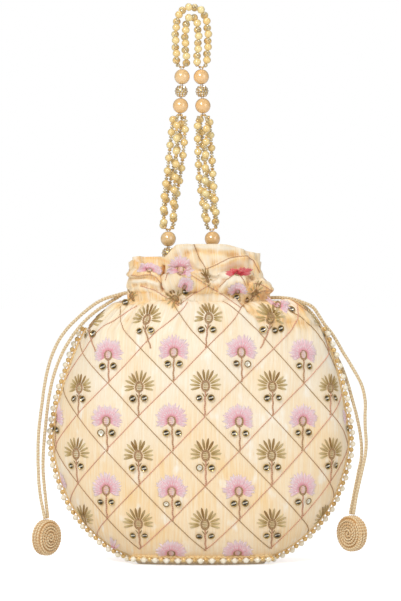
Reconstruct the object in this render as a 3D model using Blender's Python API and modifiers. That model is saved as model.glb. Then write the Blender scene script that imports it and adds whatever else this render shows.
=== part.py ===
"""Potli bag: a gathered cloth pouch with two drawstrings and a handle of bead strands.

Metres, +Z up, front towards -Y. The origin is on the floor under the middle of the pouch.
"""
from math import asin, cos, pi, radians, sin, sqrt

import bmesh
import bpy
from mathutils import Vector

# Clearances
CLEARANCE = 0.0003
LINING_GAP = 0.0005

# Cloth pouch
BELLY_HALF_WIDTH = 0.110
BELLY_HALF_DEPTH = 0.050
NECK_HEIGHT = 0.200
NECK_HALF_WIDTH = 0.053
NECK_HALF_DEPTH = 0.031
NECK_SHIFT = -0.002
# The neck narrows above the tunnel: it gets deeper, and its middle moves to the left
NECK_PINCH = 0.0052
PINCH_RISE = 0.0160
PINCH_SHIFT_SHARE = 0.35
PINCH_DEPTH_SHARE = 0.18
PANEL_THICKNESS = 0.0012
LINING_THICKNESS = 0.0008
SEAM_LIFT = 0.0065

# Frill above the drawstring tunnel
FRILL_LEFT_TOP = 0.0295
FRILL_RIGHT_TOP = 0.0390
FRILL_BACK_TOP = 0.0250
FRILL_RIGHT_FALL = 0.0075
# Shares of the half width between which the right side falls
FALL_START = 0.45
FALL_END = 1.05
FRILL_BACK_FLARE = 0.0060
FRILL_LEFT_FALL = 0.0040
# Shares of a puff's reach kept by the upper wall at its foot and its edge, front and back
FRONT_FOOT_REACH = 0.08
FRONT_EDGE_REACH = 0.33
BACK_WALL_REACH = 0.6
# Lean of the edge's middle to the left
EDGE_LEAN = 0.0040
BACK_LEAN_SHARE = 0.6
LINING_COLLAR = 0.0120

# Drawstrings
CORD_DIAMETER = 0.0028
TUNNEL_PLAY = 0.0008
SLIT_PLAY = 0.0004
SLIT_SPLAY = 1.1
DISC_DIAMETER = 0.0275
DISC_THICKNESS = 0.0085
DISC_DOME = 0.0015
# Outline of a disc from its middle to its rim: share of the radius kept, share of the dome's fall
DISC_FACE_RADIUS = 0.55
DISC_FACE_FALL = 0.3
DISC_EDGE_ROUND = 0.7

# Beaded edging along the seam
EDGE_PEARL_DIAMETER = 0.0042
EDGE_GOLD_DIAMETER = 0.0037
EDGE_PITCH = 0.0084
EDGE_PEARL_REACH = 0.0040
EDGE_GOLD_LIFT = 0.0013
EDGE_THREAD_DIAMETER = 0.0010

# Handle
HANDLE_HEIGHT = 0.420
STRANDS = 4
STRAND_SPREAD = 0.0052
STRAND_PEARL_DIAMETER = 0.0056
STRAND_PEARL_PITCH = 0.0098
# How far each strand's pearls are shifted along it, as shares of their pitch
PEARL_SHIFTS = (0.0, 0.25, 0.75, 0.5)
SEED_BEAD_DIAMETER = 0.0025
# Share of a small pearl's radius at which its seed bead begins
BEAD_FACE_SHARE = 0.92
SEED_START = 0.0026
BORE_EXIT = 0.0005
SPREAD_LENGTH = 0.0040
THREAD_DIAMETER = 0.0007
THREAD_OFFSET = 0.0008
LEG_TWIST = 100.0
BORE_DIAMETER = 0.0032
BIG_PEARL_DIAMETER = 0.0116
CRYSTAL_BALL_DIAMETER = 0.0100
KNOT_DIAMETER = 0.0044
# Knots above the tunnel, mouth pearls above the knots, upper balls below the handle's top
KNOT_RISE = 0.0059
MOUTH_RISE = 0.0325
STACK_DROP = 0.0664
KNOT_LEFT_ANGLE = 60.0
KNOT_RIGHT_ANGLE = 105.0
TOP_HALF_SPAN = 0.0074
TOP_CENTRE = -0.0070
STACK_LEFT = -0.0149
STACK_RIGHT = 0.0008
STACK_LEAN = 0.0006
MOUTH_LEFT = -0.0248
MOUTH_RIGHT = 0.0086
# Points of the legs: across, share of the way up from the mouth pearls to the upper balls
LEFT_LEG = ((-0.0236, 0.260), (-0.0200, 0.475), (-0.0175, 0.699))
RIGHT_LEG = ((0.0066, 0.206), (0.0042, 0.385), (0.0026, 0.654))

# Worked out from the sizes above
LEVEL_HEIGHT = CORD_DIAMETER + 2 * SLIT_PLAY
SLIT_HALF_WIDTH = CORD_DIAMETER + CLEARANCE / 2 + SLIT_PLAY
TUNNEL_GAP = CORD_DIAMETER + 2 * TUNNEL_PLAY
TUNNEL_LOW = NECK_HEIGHT - LEVEL_HEIGHT
TUNNEL_HIGH = NECK_HEIGHT + LEVEL_HEIGHT
KNOT_HEIGHT = TUNNEL_HIGH + KNOT_RISE
MOUTH_HEIGHT = KNOT_HEIGHT + MOUTH_RISE
STACK_HEIGHT = HANDLE_HEIGHT - STACK_DROP
PEARL_RIM = sqrt(BIG_PEARL_DIAMETER**2 - BORE_DIAMETER**2) / 2
BALL_RIM = sqrt(CRYSTAL_BALL_DIAMETER**2 - BORE_DIAMETER**2) / 2
BEAD_STEP = PEARL_RIM + BALL_RIM + 2 * CLEARANCE
DISC_CORD_OFFSET = CORD_DIAMETER / 2 + CLEARANCE

# Fineness of the curves and turned pieces
PATH_STEP = 0.0003
CURVE_STEPS = 24
TOP_BEND_STEPS = 6
CORD_POINT_STEP = 0.0085
BEAD_ARC_STEPS = 5
BEAD_TURN_STEPS = 10
DISC_TURN_STEPS = 16

# Discs: centre, and turn about the upright in degrees
LEFT_DISC = ((-0.1158, -0.0090, 0.0188), 52.0)
RIGHT_DISC = ((0.1132, -0.0036, 0.0214), -48.0)

# Routes of the cords outside the bag, from the slit down to the disc
LEFT_OUTER = (
    (-0.0745, -0.0030, 0.1965),
    (-0.0908, -0.0050, 0.1845),
    (-0.1035, -0.0055, 0.1710),
    (-0.1121, -0.0060, 0.1538),
    (-0.1165, -0.0065, 0.1365),
    (-0.1190, -0.0070, 0.1192),
    (-0.1215, -0.0080, 0.0975),
    (-0.1219, -0.0090, 0.0735),
    (-0.1205, -0.0097, 0.0520),
)
LEFT_INNER = (
    (-0.0683, 0.0005, 0.1950),
    (-0.0840, -0.0035, 0.1838),
    (-0.0953, -0.0055, 0.1710),
    (-0.1035, -0.0055, 0.1575),
    (-0.1103, -0.0055, 0.1402),
    (-0.1140, -0.0055, 0.1230),
    (-0.1165, -0.0055, 0.1020),
    (-0.1180, -0.0060, 0.0848),
    (-0.1183, -0.0068, 0.0690),
    (-0.1168, -0.0076, 0.0520),
)
RIGHT_OUTER = (
    (0.0650, 0.0015, 0.1978),
    (0.0760, 0.0040, 0.1948),
    (0.0860, 0.0045, 0.1893),
    (0.0905, 0.0045, 0.1810),
    (0.0980, 0.0040, 0.1718),
    (0.1065, 0.0040, 0.1575),
    (0.1147, 0.0010, 0.1440),
    (0.1211, -0.0020, 0.1312),
    (0.1232, -0.0040, 0.1192),
    (0.1228, -0.0050, 0.1058),
    (0.1237, -0.0050, 0.0930),
    (0.1237, -0.0050, 0.0848),
    (0.1205, -0.0050, 0.0675),
    (0.1168, -0.0050, 0.0510),
)
RIGHT_INNER = (
    (0.0655, 0.0065, 0.1975),
    (0.0765, 0.0095, 0.1925),
    (0.0868, 0.0100, 0.1820),
    (0.0935, 0.0100, 0.1700),
    (0.0990, 0.0090, 0.1580),
    (0.1028, 0.0080, 0.1522),
    (0.1095, 0.0055, 0.1365),
    (0.1140, 0.0040, 0.1208),
    (0.1178, 0.0015, 0.1058),
    (0.1200, 0.0000, 0.0930),
    (0.1206, -0.0010, 0.0800),
    (0.1180, -0.0015, 0.0660),
    (0.1150, -0.0020, 0.0510),
)

# Body rings: height / neck height, half width / belly's, half depth / belly's,
# seam y / belly's half depth, centre x
BODY_RINGS = (
    (0.000, 0.430, 0.47, -0.23, 0.0),
    (SEAM_LIFT / NECK_HEIGHT, 0.475, 0.56, -0.28, 0.0),
    (0.060, 0.590, 0.68, -0.19, 0.0),
    (0.098, 0.690, 0.78, -0.11, 0.0),
    (0.150, 0.790, 0.86, -0.05, 0.0),
    (0.225, 0.885, 0.93, -0.01, 0.0),
    (0.325, 0.958, 0.98, 0.0, 0.0),
    (0.440, 1.000, 1.00, 0.0, 0.0),
    (0.565, 0.977, 0.98, 0.0, 0.0),
    (0.690, 0.925, 0.93, 0.0, 0.001),
    (0.795, 0.862, 0.86, 0.0, 0.0015),
    (0.875, 0.795, 0.79, 0.0, 0.002),
    (0.933, 0.710, 0.73, 0.0, 0.003),
)
SHOULDER_RING = (0.970, 0.620, 0.67, 0.0, 0.002)
EDGING_TOP_RING = 11

# Pleats of the frill, as angles from the left seam, with the height and reach of the puff under each
FRONT_PLEATS = (
    (0.0, 61.0, 0.0150, 0.0035),
    (61.0, 101.0, 0.0150, 0.0080),
    (101.0, 145.0, 0.0130, 0.0070),
    (145.0, 180.0, 0.0080, 0.0045),
)
BACK_PLEATS = (
    (0.0, 45.0, 0.0100, 0.0030),
    (45.0, 90.0, 0.0110, 0.0035),
    (90.0, 135.0, 0.0110, 0.0035),
    (135.0, 180.0, 0.0100, 0.0030),
)
PLEAT_COLUMNS = 6
VALLEY_RISE = 0.0060
# Rows of a puff: share of its reach, share of its height
PUFF_ROWS = ((0.80, 0.30), (1.00, 0.62), (0.78, 0.93), (0.08, 1.00))

FRONT, BACK = -1, 1


def smoothstep(low, high, value):
    t = min(1.0, max(0.0, (value - low) / (high - low)))
    return t * t * (3 - 2 * t)


def new_collection(name):
    collection = bpy.data.collections.new(name)
    bpy.context.scene.collection.children.link(collection)
    return collection


def make_material(name, colour, roughness, metallic=0.0):
    material = bpy.data.materials.new(name)
    material.use_nodes = True
    shader = material.node_tree.nodes["Principled BSDF"]
    shader.inputs["Base Color"].default_value = (*colour, 1.0)
    shader.inputs["Roughness"].default_value = roughness
    shader.inputs["Metallic"].default_value = metallic
    return material


def add_object(name, data, material, collection, location=(0, 0, 0)):
    item = bpy.data.objects.new(name, data)
    item.location = location
    data.materials.append(material)
    collection.objects.link(item)
    return item


# Pouch surface


def pleat_angles(pleats, per_pleat):
    """Column angles in radians from the left seam, evenly spaced inside each pleat."""
    angles = [0.0]
    for start, end, _, _ in pleats:
        for step in range(1, per_pleat + 1):
            angles.append(radians(start + (end - start) * step / per_pleat))
    return angles


def pleat_at(pleats, angle):
    """Height and reach of the puff at an angle: nothing in the valleys, full on the ridges."""
    for start, end, height, reach in pleats:
        low, high = radians(start), radians(end)
        if angle <= high + 1e-9:
            ridge = max(0.0, sin(pi * (angle - low) / (high - low)))
            return VALLEY_RISE + (height - VALLEY_RISE) * ridge**0.8, reach * ridge**0.7
    return VALLEY_RISE, 0.0


def ring_point(half_width, half_depth, seam_y, centre_x, height, side, angle, reach=0.0):
    """A point on a ring: half an ellipse on each side, joined by a flat band at the seams."""
    depth = half_depth - side * seam_y - SLIT_HALF_WIDTH
    x = centre_x - half_width * cos(angle)
    y = seam_y + side * (SLIT_HALF_WIDTH + depth * sin(angle))
    outward = Vector((-cos(angle) / half_width, side * sin(angle) / depth, 0.0)).normalized()
    return Vector((x, y, height)) + outward * reach


def body_ring(ring, side, angle):
    height, width, depth, seam, centre = ring
    return ring_point(
        width * BELLY_HALF_WIDTH,
        depth * BELLY_HALF_DEPTH,
        seam * BELLY_HALF_DEPTH,
        centre,
        height * NECK_HEIGHT,
        side,
        angle,
    )


def neck_point(height, side, angle, reach=0.0, inset=0.0):
    pinch = NECK_PINCH * smoothstep(TUNNEL_HIGH, TUNNEL_HIGH + PINCH_RISE, height)
    return ring_point(
        NECK_HALF_WIDTH - pinch - inset,
        NECK_HALF_DEPTH + PINCH_DEPTH_SHARE * pinch - inset,
        0.0,
        NECK_SHIFT - PINCH_SHIFT_SHARE * pinch,
        height,
        side,
        angle,
        reach,
    )


def frill_top(side, angle):
    """Height of the frill's edge above the neck: a low left lobe and a tall right block in front."""
    x = -cos(angle)
    if side == BACK:
        return FRILL_BACK_TOP
    rise = smoothstep(-0.42, -0.18, x)
    top = FRILL_LEFT_TOP + (FRILL_RIGHT_TOP - FRILL_LEFT_TOP) * rise
    top -= FRILL_RIGHT_FALL * smoothstep(FALL_START, FALL_END, x)
    return top - FRILL_LEFT_FALL * smoothstep(0.9, 1.0, -x)


def frill_point(row, side, angle):
    """Row 0 is the tunnel's top; the puff rows come next, then the upper wall and the edge."""
    pleats = FRONT_PLEATS if side == FRONT else BACK_PLEATS
    height, reach = pleat_at(pleats, angle)
    if row == 0:
        return neck_point(TUNNEL_HIGH, side, angle)
    if row <= len(PUFF_ROWS):
        out, up = PUFF_ROWS[row - 1]
        if side == BACK:
            out = max(out, BACK_WALL_REACH)
        return neck_point(TUNNEL_HIGH + up * height, side, angle, out * reach)
    share = (row - len(PUFF_ROWS)) / 2
    start = TUNNEL_HIGH + height
    top = NECK_HEIGHT + frill_top(side, angle)
    if side == BACK:
        flare = BACK_WALL_REACH * reach + FRILL_BACK_FLARE * share * sin(angle)
    else:
        flare = (FRONT_FOOT_REACH + (FRONT_EDGE_REACH - FRONT_FOOT_REACH) * share) * reach
    point = neck_point(start + (top - start) * share, side, angle, flare)
    point.x -= EDGE_LEAN * sin(angle) * share * (1 if side == FRONT else BACK_LEAN_SHARE)
    return point


FRILL_ROWS = len(PUFF_ROWS) + 2


def outer_rows():
    """Every row of the pouch from the bottom ring to the frill's edge: a point function each."""
    rows = [lambda side, angle, ring=ring: body_ring(ring, side, angle) for ring in BODY_RINGS]
    rows.append(lambda side, angle: body_ring(SHOULDER_RING, side, angle))
    rows.append(lambda side, angle: neck_point(TUNNEL_LOW, side, angle))
    rows.append(lambda side, angle: neck_point(NECK_HEIGHT, side, angle))
    for row in range(FRILL_ROWS + 1):
        rows.append(lambda side, angle, row=row: frill_point(row, side, angle))
    return rows


COARSE_ROWS = len(BODY_RINGS)
NECK_MIDDLE_ROW = COARSE_ROWS + 2


def half_row(point_at, side, angles):
    """Points of one row on one side, from the left seam edge to the right seam edge."""
    inner = [point_at(side, angle) for angle in angles]
    left, right = inner[0].copy(), inner[-1].copy()
    shift = side * (SLIT_HALF_WIDTH - CLEARANCE / 2)
    left.y -= shift
    right.y -= shift
    return [left, *inner, right]


def fill_between(bm, low, high, flip, skip=()):
    """Faces between two rows; a row with twice the columns is met by three triangles a cell."""
    def face(*corners):
        bm.faces.new(corners if not flip else tuple(reversed(corners)))

    if len(low) == len(high):
        for i in range(len(low) - 1):
            if i not in skip:
                face(low[i], low[i + 1], high[i + 1], high[i])
        return
    face(low[0], low[1], high[1], high[0])
    for i in range(1, len(low) - 2):
        j = 2 * i - 1
        face(low[i], high[j + 1], high[j])
        face(low[i], low[i + 1], high[j + 1])
        face(low[i + 1], high[j + 2], high[j + 1])
    face(low[-2], low[-1], high[-1], high[-2])


def half_shell(bm, side, first_row):
    """One half of the pouch as an open surface with a notch at each end of a drawstring level."""
    pleats = FRONT_PLEATS if side == FRONT else BACK_PLEATS
    coarse = pleat_angles(pleats, PLEAT_COLUMNS // 2)
    fine = pleat_angles(pleats, PLEAT_COLUMNS)
    rows = []
    for index, point_at in enumerate(outer_rows()):
        if index < first_row:
            continue
        angles = coarse if index < COARSE_ROWS else fine
        rows.append([bm.verts.new(point) for point in half_row(point_at, side, angles)])
    for number in range(len(rows) - 1):
        index = number + first_row
        skip = ()
        if index == NECK_MIDDLE_ROW - 1:
            skip = (len(rows[number]) - 2,)
        if index == NECK_MIDDLE_ROW:
            skip = (0,)
        fill_between(bm, rows[number], rows[number + 1], side == BACK, skip)
    return rows


def add_thickness(item, thickness):
    modifier = item.modifiers.new("Thickness", "SOLIDIFY")
    modifier.thickness = thickness
    modifier.offset = -1.0
    modifier.use_even_offset = False
    return modifier


def finish_cloth(name, bm, thickness, material, collection):
    mesh = bpy.data.meshes.new(name)
    bm.to_mesh(mesh)
    bm.free()
    item = add_object(name, mesh, material, collection)
    mesh.shade_smooth()
    add_thickness(item, thickness)
    return item


def build_front_panel(material, collection):
    bm = bmesh.new()
    half_shell(bm, FRONT, 1)
    return finish_cloth("front_panel", bm, PANEL_THICKNESS, material, collection)


def build_back_panel(material, collection):
    """The back half, the flat bottom and the low lip that meets the front panel's lower edge."""
    bm = bmesh.new()
    rows = half_shell(bm, BACK, 0)
    coarse = pleat_angles(FRONT_PLEATS, PLEAT_COLUMNS // 2)
    bottom = half_row(lambda side, angle: body_ring(BODY_RINGS[0], side, angle), FRONT, coarse)
    lip = half_row(lambda side, angle: body_ring(BODY_RINGS[1], side, angle), FRONT, coarse)
    low = [rows[0][0]] + [bm.verts.new(point) for point in bottom[1:-1]] + [rows[0][-1]]
    drop = Vector((0, 0, CLEARANCE))
    high = [rows[1][0]] + [bm.verts.new(point - drop) for point in lip[1:-1]] + [rows[1][-1]]
    fill_between(bm, low, high, False)
    bm.faces.new(rows[0][1:-1] + list(reversed(low)))
    return finish_cloth("back_panel", bm, PANEL_THICKNESS, material, collection)


def closed_row(bm, point_at):
    """One closed ring of the lining, front half then back half."""
    front = [point_at(FRONT, a) for a in pleat_angles(FRONT_PLEATS, PLEAT_COLUMNS // 2)]
    back = [point_at(BACK, a) for a in pleat_angles(BACK_PLEATS, PLEAT_COLUMNS // 2)]
    return [bm.verts.new(point) for point in front + list(reversed(back))]


def build_lining(material, collection):
    bm = bmesh.new()
    body = outer_rows()[: COARSE_ROWS + 1]
    rows = [closed_row(bm, point_at) for point_at in body]
    inset = PANEL_THICKNESS + TUNNEL_GAP
    collar = PANEL_THICKNESS + LINING_GAP
    levels = (
        (TUNNEL_LOW - PANEL_THICKNESS - LINING_GAP, inset),
        (NECK_HEIGHT, inset),
        (TUNNEL_HIGH + CLEARANCE, inset),
        (TUNNEL_HIGH + TUNNEL_GAP, collar),
        (TUNNEL_HIGH + LINING_COLLAR, collar),
    )
    for height, amount in levels:
        rows.append(
            closed_row(bm, lambda s, a, h=height, m=amount: neck_point(h, s, a, inset=m))
        )
    for low, high in zip(rows, rows[1:]):
        for i in range(len(low)):
            j = (i + 1) % len(low)
            bm.faces.new((low[i], low[j], high[j], high[i]))
    bm.faces.new(tuple(reversed(rows[0])))
    bm.normal_update()
    shift = PANEL_THICKNESS + LINING_GAP
    moves = [(v, v.normal.copy()) for row in rows[: len(body)] for v in row]
    for vert, normal in moves:
        vert.co -= normal * shift
    return finish_cloth("lining", bm, LINING_THICKNESS, material, collection)


# Curves


def smooth_path(points, spacing):
    """Points about one spacing apart on a smooth curve through the given points."""
    spans = [(b - a).length for a, b in zip(points, points[1:])]
    runs = [(b - a) / span for a, b, span in zip(points, points[1:], spans)]
    slopes = [runs[0]]
    for before, after, run_in, run_out in zip(spans, spans[1:], runs, runs[1:]):
        slopes.append((run_in * after + run_out * before) / (before + after))
    slopes.append(runs[-1])
    fine = []
    for a, b, slope_a, slope_b, span in zip(points, points[1:], slopes, slopes[1:], spans):
        for step in range(CURVE_STEPS):
            t = step / CURVE_STEPS
            bend = (t - 2 * t * t + t * t * t) * slope_a + (t * t * t - t * t) * slope_b
            fine.append(a.lerp(b, t * t * (3 - 2 * t)) + bend * span)
    fine.append(points[-1].copy())
    lengths = path_lengths(fine)
    count = max(2, round(lengths[-1] / spacing))
    return [point_along(fine, lengths, lengths[-1] * i / count) for i in range(count + 1)]


def path_lengths(points):
    lengths = [0.0]
    for a, b in zip(points, points[1:]):
        lengths.append(lengths[-1] + (b - a).length)
    return lengths


def point_along(points, lengths, distance):
    low, high = 0, len(points) - 1
    while high - low > 1:
        middle = (low + high) // 2
        if lengths[middle] <= distance:
            low = middle
        else:
            high = middle
    span = lengths[high] - lengths[low]
    share = (distance - lengths[low]) / span if span else 0.0
    return points[low].lerp(points[high], share)


def add_tube(name, points, radii, sides_level, material, collection):
    """A round string: one straight run between points, its own radius at each."""
    curve = bpy.data.curves.new(name, "CURVE")
    curve.dimensions = "3D"
    curve.resolution_u = 1
    curve.render_resolution_u = 0
    curve.bevel_depth = 1.0
    curve.bevel_resolution = sides_level
    curve.use_fill_caps = True
    spline = curve.splines.new("POLY")
    spline.points.add(len(points) - 1)
    for spot, point, radius in zip(spline.points, points, radii):
        spot.co = (*point, 1.0)
        spot.radius = radius
    return add_object(name, curve, material, collection)


# Beaded edging


def seam_path():
    """The seam from the left shoulder round the bottom to the right, with its outward normals."""
    middle = Vector((0, SLIT_HALF_WIDTH, 0))
    rings = BODY_RINGS[: EDGING_TOP_RING + 2]
    left = [body_ring(ring, FRONT, 0.0) + middle for ring in rings]
    right = [body_ring(ring, FRONT, pi) + middle for ring in rings]
    normals = []
    for below, above in zip(left, left[2:]):
        normals.append(Vector((below.z - above.z, 0, above.x - below.x)).normalized())
    angles = pleat_angles(FRONT_PLEATS, PLEAT_COLUMNS // 2)[1:-1]
    under = [body_ring(BODY_RINGS[1], FRONT, angle) for angle in angles]
    front = []
    for index, angle in enumerate(angles):
        along = under[min(len(under) - 1, index + 1)] - under[max(0, index - 1)]
        up = body_ring(BODY_RINGS[2], FRONT, angle) - body_ring(BODY_RINGS[0], FRONT, angle)
        front.append(along.cross(up).normalized())
    mirrored = [Vector((-n.x, n.y, n.z)) for n in normals]
    points = [*reversed(left[1:-1]), *under, *right[1:-1]]
    return points, [*reversed(normals), *front, *mirrored]


def build_edging(material, collection):
    """Gold beads on the seam and pearls between them, a little further out, on one thread."""
    points, normals = seam_path()
    path = smooth_path(points, EDGE_PITCH / 8)
    facing = [point + normal for point, normal in zip(points, normals)]
    lengths, corner_lengths = path_lengths(path), path_lengths(points)

    def placed(distance, reach):
        spot = point_along(path, lengths, distance)
        share = distance / lengths[-1] * corner_lengths[-1]
        tip = point_along(facing, corner_lengths, share)
        root = point_along(points, corner_lengths, share)
        return spot + (tip - root).normalized() * reach

    beads = 2 * int(lengths[-1] / EDGE_PITCH) + 1
    gold_reach = EDGE_GOLD_DIAMETER / 2 + EDGE_GOLD_LIFT
    route, radii = [], []
    for index in range(beads):
        gold = index % 2 == 0
        reach = gold_reach if gold else EDGE_PEARL_REACH
        bead = placed((index + 0.5) * lengths[-1] / beads, reach)
        if route:
            route.append((route[-1] + bead) / 2)
            radii.append(EDGE_THREAD_DIAMETER / 2)
        route.append(bead)
        radii.append((EDGE_GOLD_DIAMETER if gold else EDGE_PEARL_DIAMETER) / 2)
    return add_tube("beaded_edging", route, radii, 0, material, collection)


# Handle


def knot_place(angle):
    """Centre of a knot that lies against the lining's collar at the back of the mouth."""
    wall = PANEL_THICKNESS + LINING_GAP + LINING_THICKNESS
    seat = KNOT_DIAMETER / 2 + 1.5 * CLEARANCE
    return neck_point(KNOT_HEIGHT, BACK, radians(angle), -seat, wall)


def leg_points(leg):
    """Points of one leg between its mouth pearl and its upper stack."""
    span = STACK_HEIGHT - MOUTH_HEIGHT
    return [(Vector((across, MOUTH_HEIGHT + share * span)), None) for across, share in leg]


def handle_stations():
    """Points of the handle's middle line from knot to knot, each with the bead it runs through."""
    step = Vector((0, BEAD_STEP))
    mouth_left, mouth_right = Vector((MOUTH_LEFT, MOUTH_HEIGHT)), Vector((MOUTH_RIGHT, MOUTH_HEIGHT))
    stack_left, stack_right = Vector((STACK_LEFT, STACK_HEIGHT)), Vector((STACK_RIGHT, STACK_HEIGHT))
    lean = Vector((STACK_LEAN, 0))
    left = [
        (mouth_left - step, "crystal_ball_mouth_left"),
        (mouth_left, "big_pearl_mouth_left"),
        *leg_points(LEFT_LEG),
        (stack_left - step - lean, "big_pearl_lower_left"),
        (stack_left, "crystal_ball_stack_left"),
        (stack_left + step + lean, "big_pearl_upper_left"),
    ]
    right = [
        (mouth_right - step, "crystal_ball_mouth_right"),
        (mouth_right, "big_pearl_mouth_right"),
        *leg_points(RIGHT_LEG),
        (stack_right - step + lean, "big_pearl_lower_right"),
        (stack_right, "crystal_ball_stack_right"),
        (stack_right + step - lean, "big_pearl_upper_right"),
    ]
    centre = Vector((TOP_CENTRE, HANDLE_HEIGHT - STRAND_PEARL_DIAMETER / 2 - STRAND_SPREAD / sqrt(2)))
    centre.y -= TOP_HALF_SPAN
    top = []
    for turn in range(TOP_BEND_STEPS + 1):
        angle = pi * turn / TOP_BEND_STEPS
        top.append((centre + TOP_HALF_SPAN * Vector((-cos(angle), sin(angle))), None))
    return [*left, *top, *reversed(right)]


def handle_line():
    """The handle's middle line in space, the plane it lies in and the place of each big bead."""
    left, right = knot_place(KNOT_LEFT_ANGLE), knot_place(KNOT_RIGHT_ANGLE)
    across = (right - left) / (right.x - left.x)
    normal = Vector((-across.y, across.x, 0)).normalized()
    stations = handle_stations()
    points = [left + across * (spot.x - left.x) for spot, _ in stations]
    for point, (spot, _) in zip(points, stations):
        point.z = spot.y
    path = smooth_path([left, *points, right], PATH_STEP)
    lengths = path_lengths(path)
    beads = []
    for point, (_, name) in zip(points, stations):
        if name:
            nearest = min(range(len(path)), key=lambda i: (path[i] - point).length)
            direction = (path[nearest + 1] - path[nearest - 1]).normalized()
            size = BIG_PEARL_DIAMETER if "pearl" in name else CRYSTAL_BALL_DIAMETER
            beads.append((name, point, direction, size, lengths[nearest]))
    return path, lengths, normal, beads


def strand_spread(distance, beads):
    """How far the strands stand from the middle line: together in the bores, apart between them."""
    if not beads[0][4] <= distance <= beads[-1][4]:
        return THREAD_OFFSET
    gap = min(abs(distance - place) - size / 2 for _, _, _, size, place in beads)
    return THREAD_OFFSET + (STRAND_SPREAD - THREAD_OFFSET) * smoothstep(BORE_EXIT, SPREAD_LENGTH, gap)


def strand_path(number, path, lengths, normal, beads):
    """One strand's own line, turning slowly about the handle's middle line down each leg."""
    line = []
    low, high = MOUTH_HEIGHT, STACK_HEIGHT
    for index, point in enumerate(path):
        before, after = path[max(0, index - 1)], path[min(len(path) - 1, index + 1)]
        inward = normal.cross(after - before).normalized()
        turn = LEG_TWIST * min(1.0, max(0.0, (high - point.z) / (high - low)))
        angle = radians(45 + 360 * number / STRANDS + turn)
        spread = strand_spread(lengths[index], beads)
        line.append(point + spread * (cos(angle) * inward + sin(angle) * normal))
    return line


def beaded_zones(beads):
    """Stretches of the middle line that carry small pearls: left leg, top and right leg."""
    names = [bead[0] for bead in beads]
    pairs = (
        ("big_pearl_mouth_left", "big_pearl_lower_left"),
        ("big_pearl_upper_left", "big_pearl_upper_right"),
        ("big_pearl_lower_right", "big_pearl_mouth_right"),
    )
    places = [(beads[names.index(a)][4], beads[names.index(b)][4]) for a, b in pairs]
    start = BIG_PEARL_DIAMETER / 2 + SEED_START
    return [(a + start, b - start) for a, b in places]


def build_strand(number, line_data, material, collection):
    path, lengths, normal, beads = line_data
    line = strand_path(number, path, lengths, normal, beads)
    own = path_lengths(line)
    thread, seed, pearl = THREAD_DIAMETER / 2, SEED_BEAD_DIAMETER / 2, STRAND_PEARL_DIAMETER / 2
    ends = KNOT_DIAMETER / 2 + CLEARANCE

    def own_place(middle_place):
        index = min(range(len(lengths)), key=lambda i: abs(lengths[i] - middle_place))
        return own[index]

    marks = [(ends, thread), (own[-1] - ends, thread)]
    marks += [(own_place(place), thread) for _, _, _, _, place in beads]
    neck = BEAD_FACE_SHARE * pearl
    for low, high in beaded_zones(beads):
        start, end = own_place(low), own_place(high)
        marks.append((own_place(low - SEED_START + BORE_EXIT), thread))
        marks.append((own_place(high + SEED_START - BORE_EXIT), thread))
        centre = start + neck + STRAND_PEARL_PITCH * PEARL_SHIFTS[number]
        spots = []
        while centre + neck < end:
            spots.append(centre)
            centre += STRAND_PEARL_PITCH
        if spots[0] - neck - start > SEED_BEAD_DIAMETER:
            marks.append((start, seed))
        if end - spots[-1] - neck > SEED_BEAD_DIAMETER:
            marks.append((end, seed))
        for spot in spots:
            marks += [(spot - neck, seed), (spot, pearl), (spot + neck, seed)]
        if start < own[-1] / 2 < end:
            marks += [((a + b) / 2, seed) for a, b in zip(spots, spots[1:])]
    marks.sort()
    points = [point_along(line, own, place) for place, _ in marks]
    radii = [radius for _, radius in marks]
    return add_tube(f"bead_strand_{number + 1}", points, radii, 1, material, collection)


def build_big_bead(name, centre, direction, diameter, material, collection):
    """A ball with a bore along the handle: one outline turned about its axis."""
    radius, bore = diameter / 2, BORE_DIAMETER / 2
    first = asin(bore / radius)
    bm = bmesh.new()
    outline = []
    for index in range(BEAD_ARC_STEPS + 1):
        angle = first + (pi - 2 * first) * index / BEAD_ARC_STEPS
        outline.append(bm.verts.new((radius * sin(angle), 0, radius * cos(angle))))
    for a, b in zip(outline, outline[1:] + outline[:1]):
        bm.edges.new((a, b))
    mesh = bpy.data.meshes.new(name)
    bm.to_mesh(mesh)
    bm.free()
    item = add_object(name, mesh, material, collection, centre)
    item.rotation_mode = "QUATERNION"
    item.rotation_quaternion = direction.to_track_quat("Z", "Y")
    add_turn(item, BEAD_TURN_STEPS)
    return item


def add_turn(item, steps):
    modifier = item.modifiers.new("Turn", "SCREW")
    modifier.axis = "Z"
    modifier.steps = steps
    modifier.render_steps = steps
    modifier.use_merge_vertices = True
    modifier.merge_threshold = 0.00005
    return modifier


def build_knot(name, angle, material, collection):
    bm = bmesh.new()
    bmesh.ops.create_uvsphere(bm, u_segments=10, v_segments=6, radius=KNOT_DIAMETER / 2)
    mesh = bpy.data.meshes.new(name)
    bm.to_mesh(mesh)
    bm.free()
    mesh.shade_smooth()
    return add_object(name, mesh, material, collection, knot_place(angle))


# Drawstrings


def disc_top(disc, offset):
    """Where a cord ends on a disc's upper rim, offset along the disc's plane."""
    centre, turn = Vector(disc[0]), radians(disc[1])
    along = Vector((cos(turn), sin(turn), 0))
    return centre + along * offset + Vector((0, 0, DISC_DIAMETER / 2 + 2 * CLEARANCE))


def tunnel_points(side, level, backwards):
    """A cord's points inside the tunnel on one side of the neck."""
    inset = PANEL_THICKNESS + TUNNEL_GAP / 2
    pleats = FRONT_PLEATS if side == FRONT else BACK_PLEATS
    angles = pleat_angles(pleats, PLEAT_COLUMNS // 2)
    points = [neck_point(level, side, angle, inset=inset) for angle in angles]
    return points[::-1] if backwards else points


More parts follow.
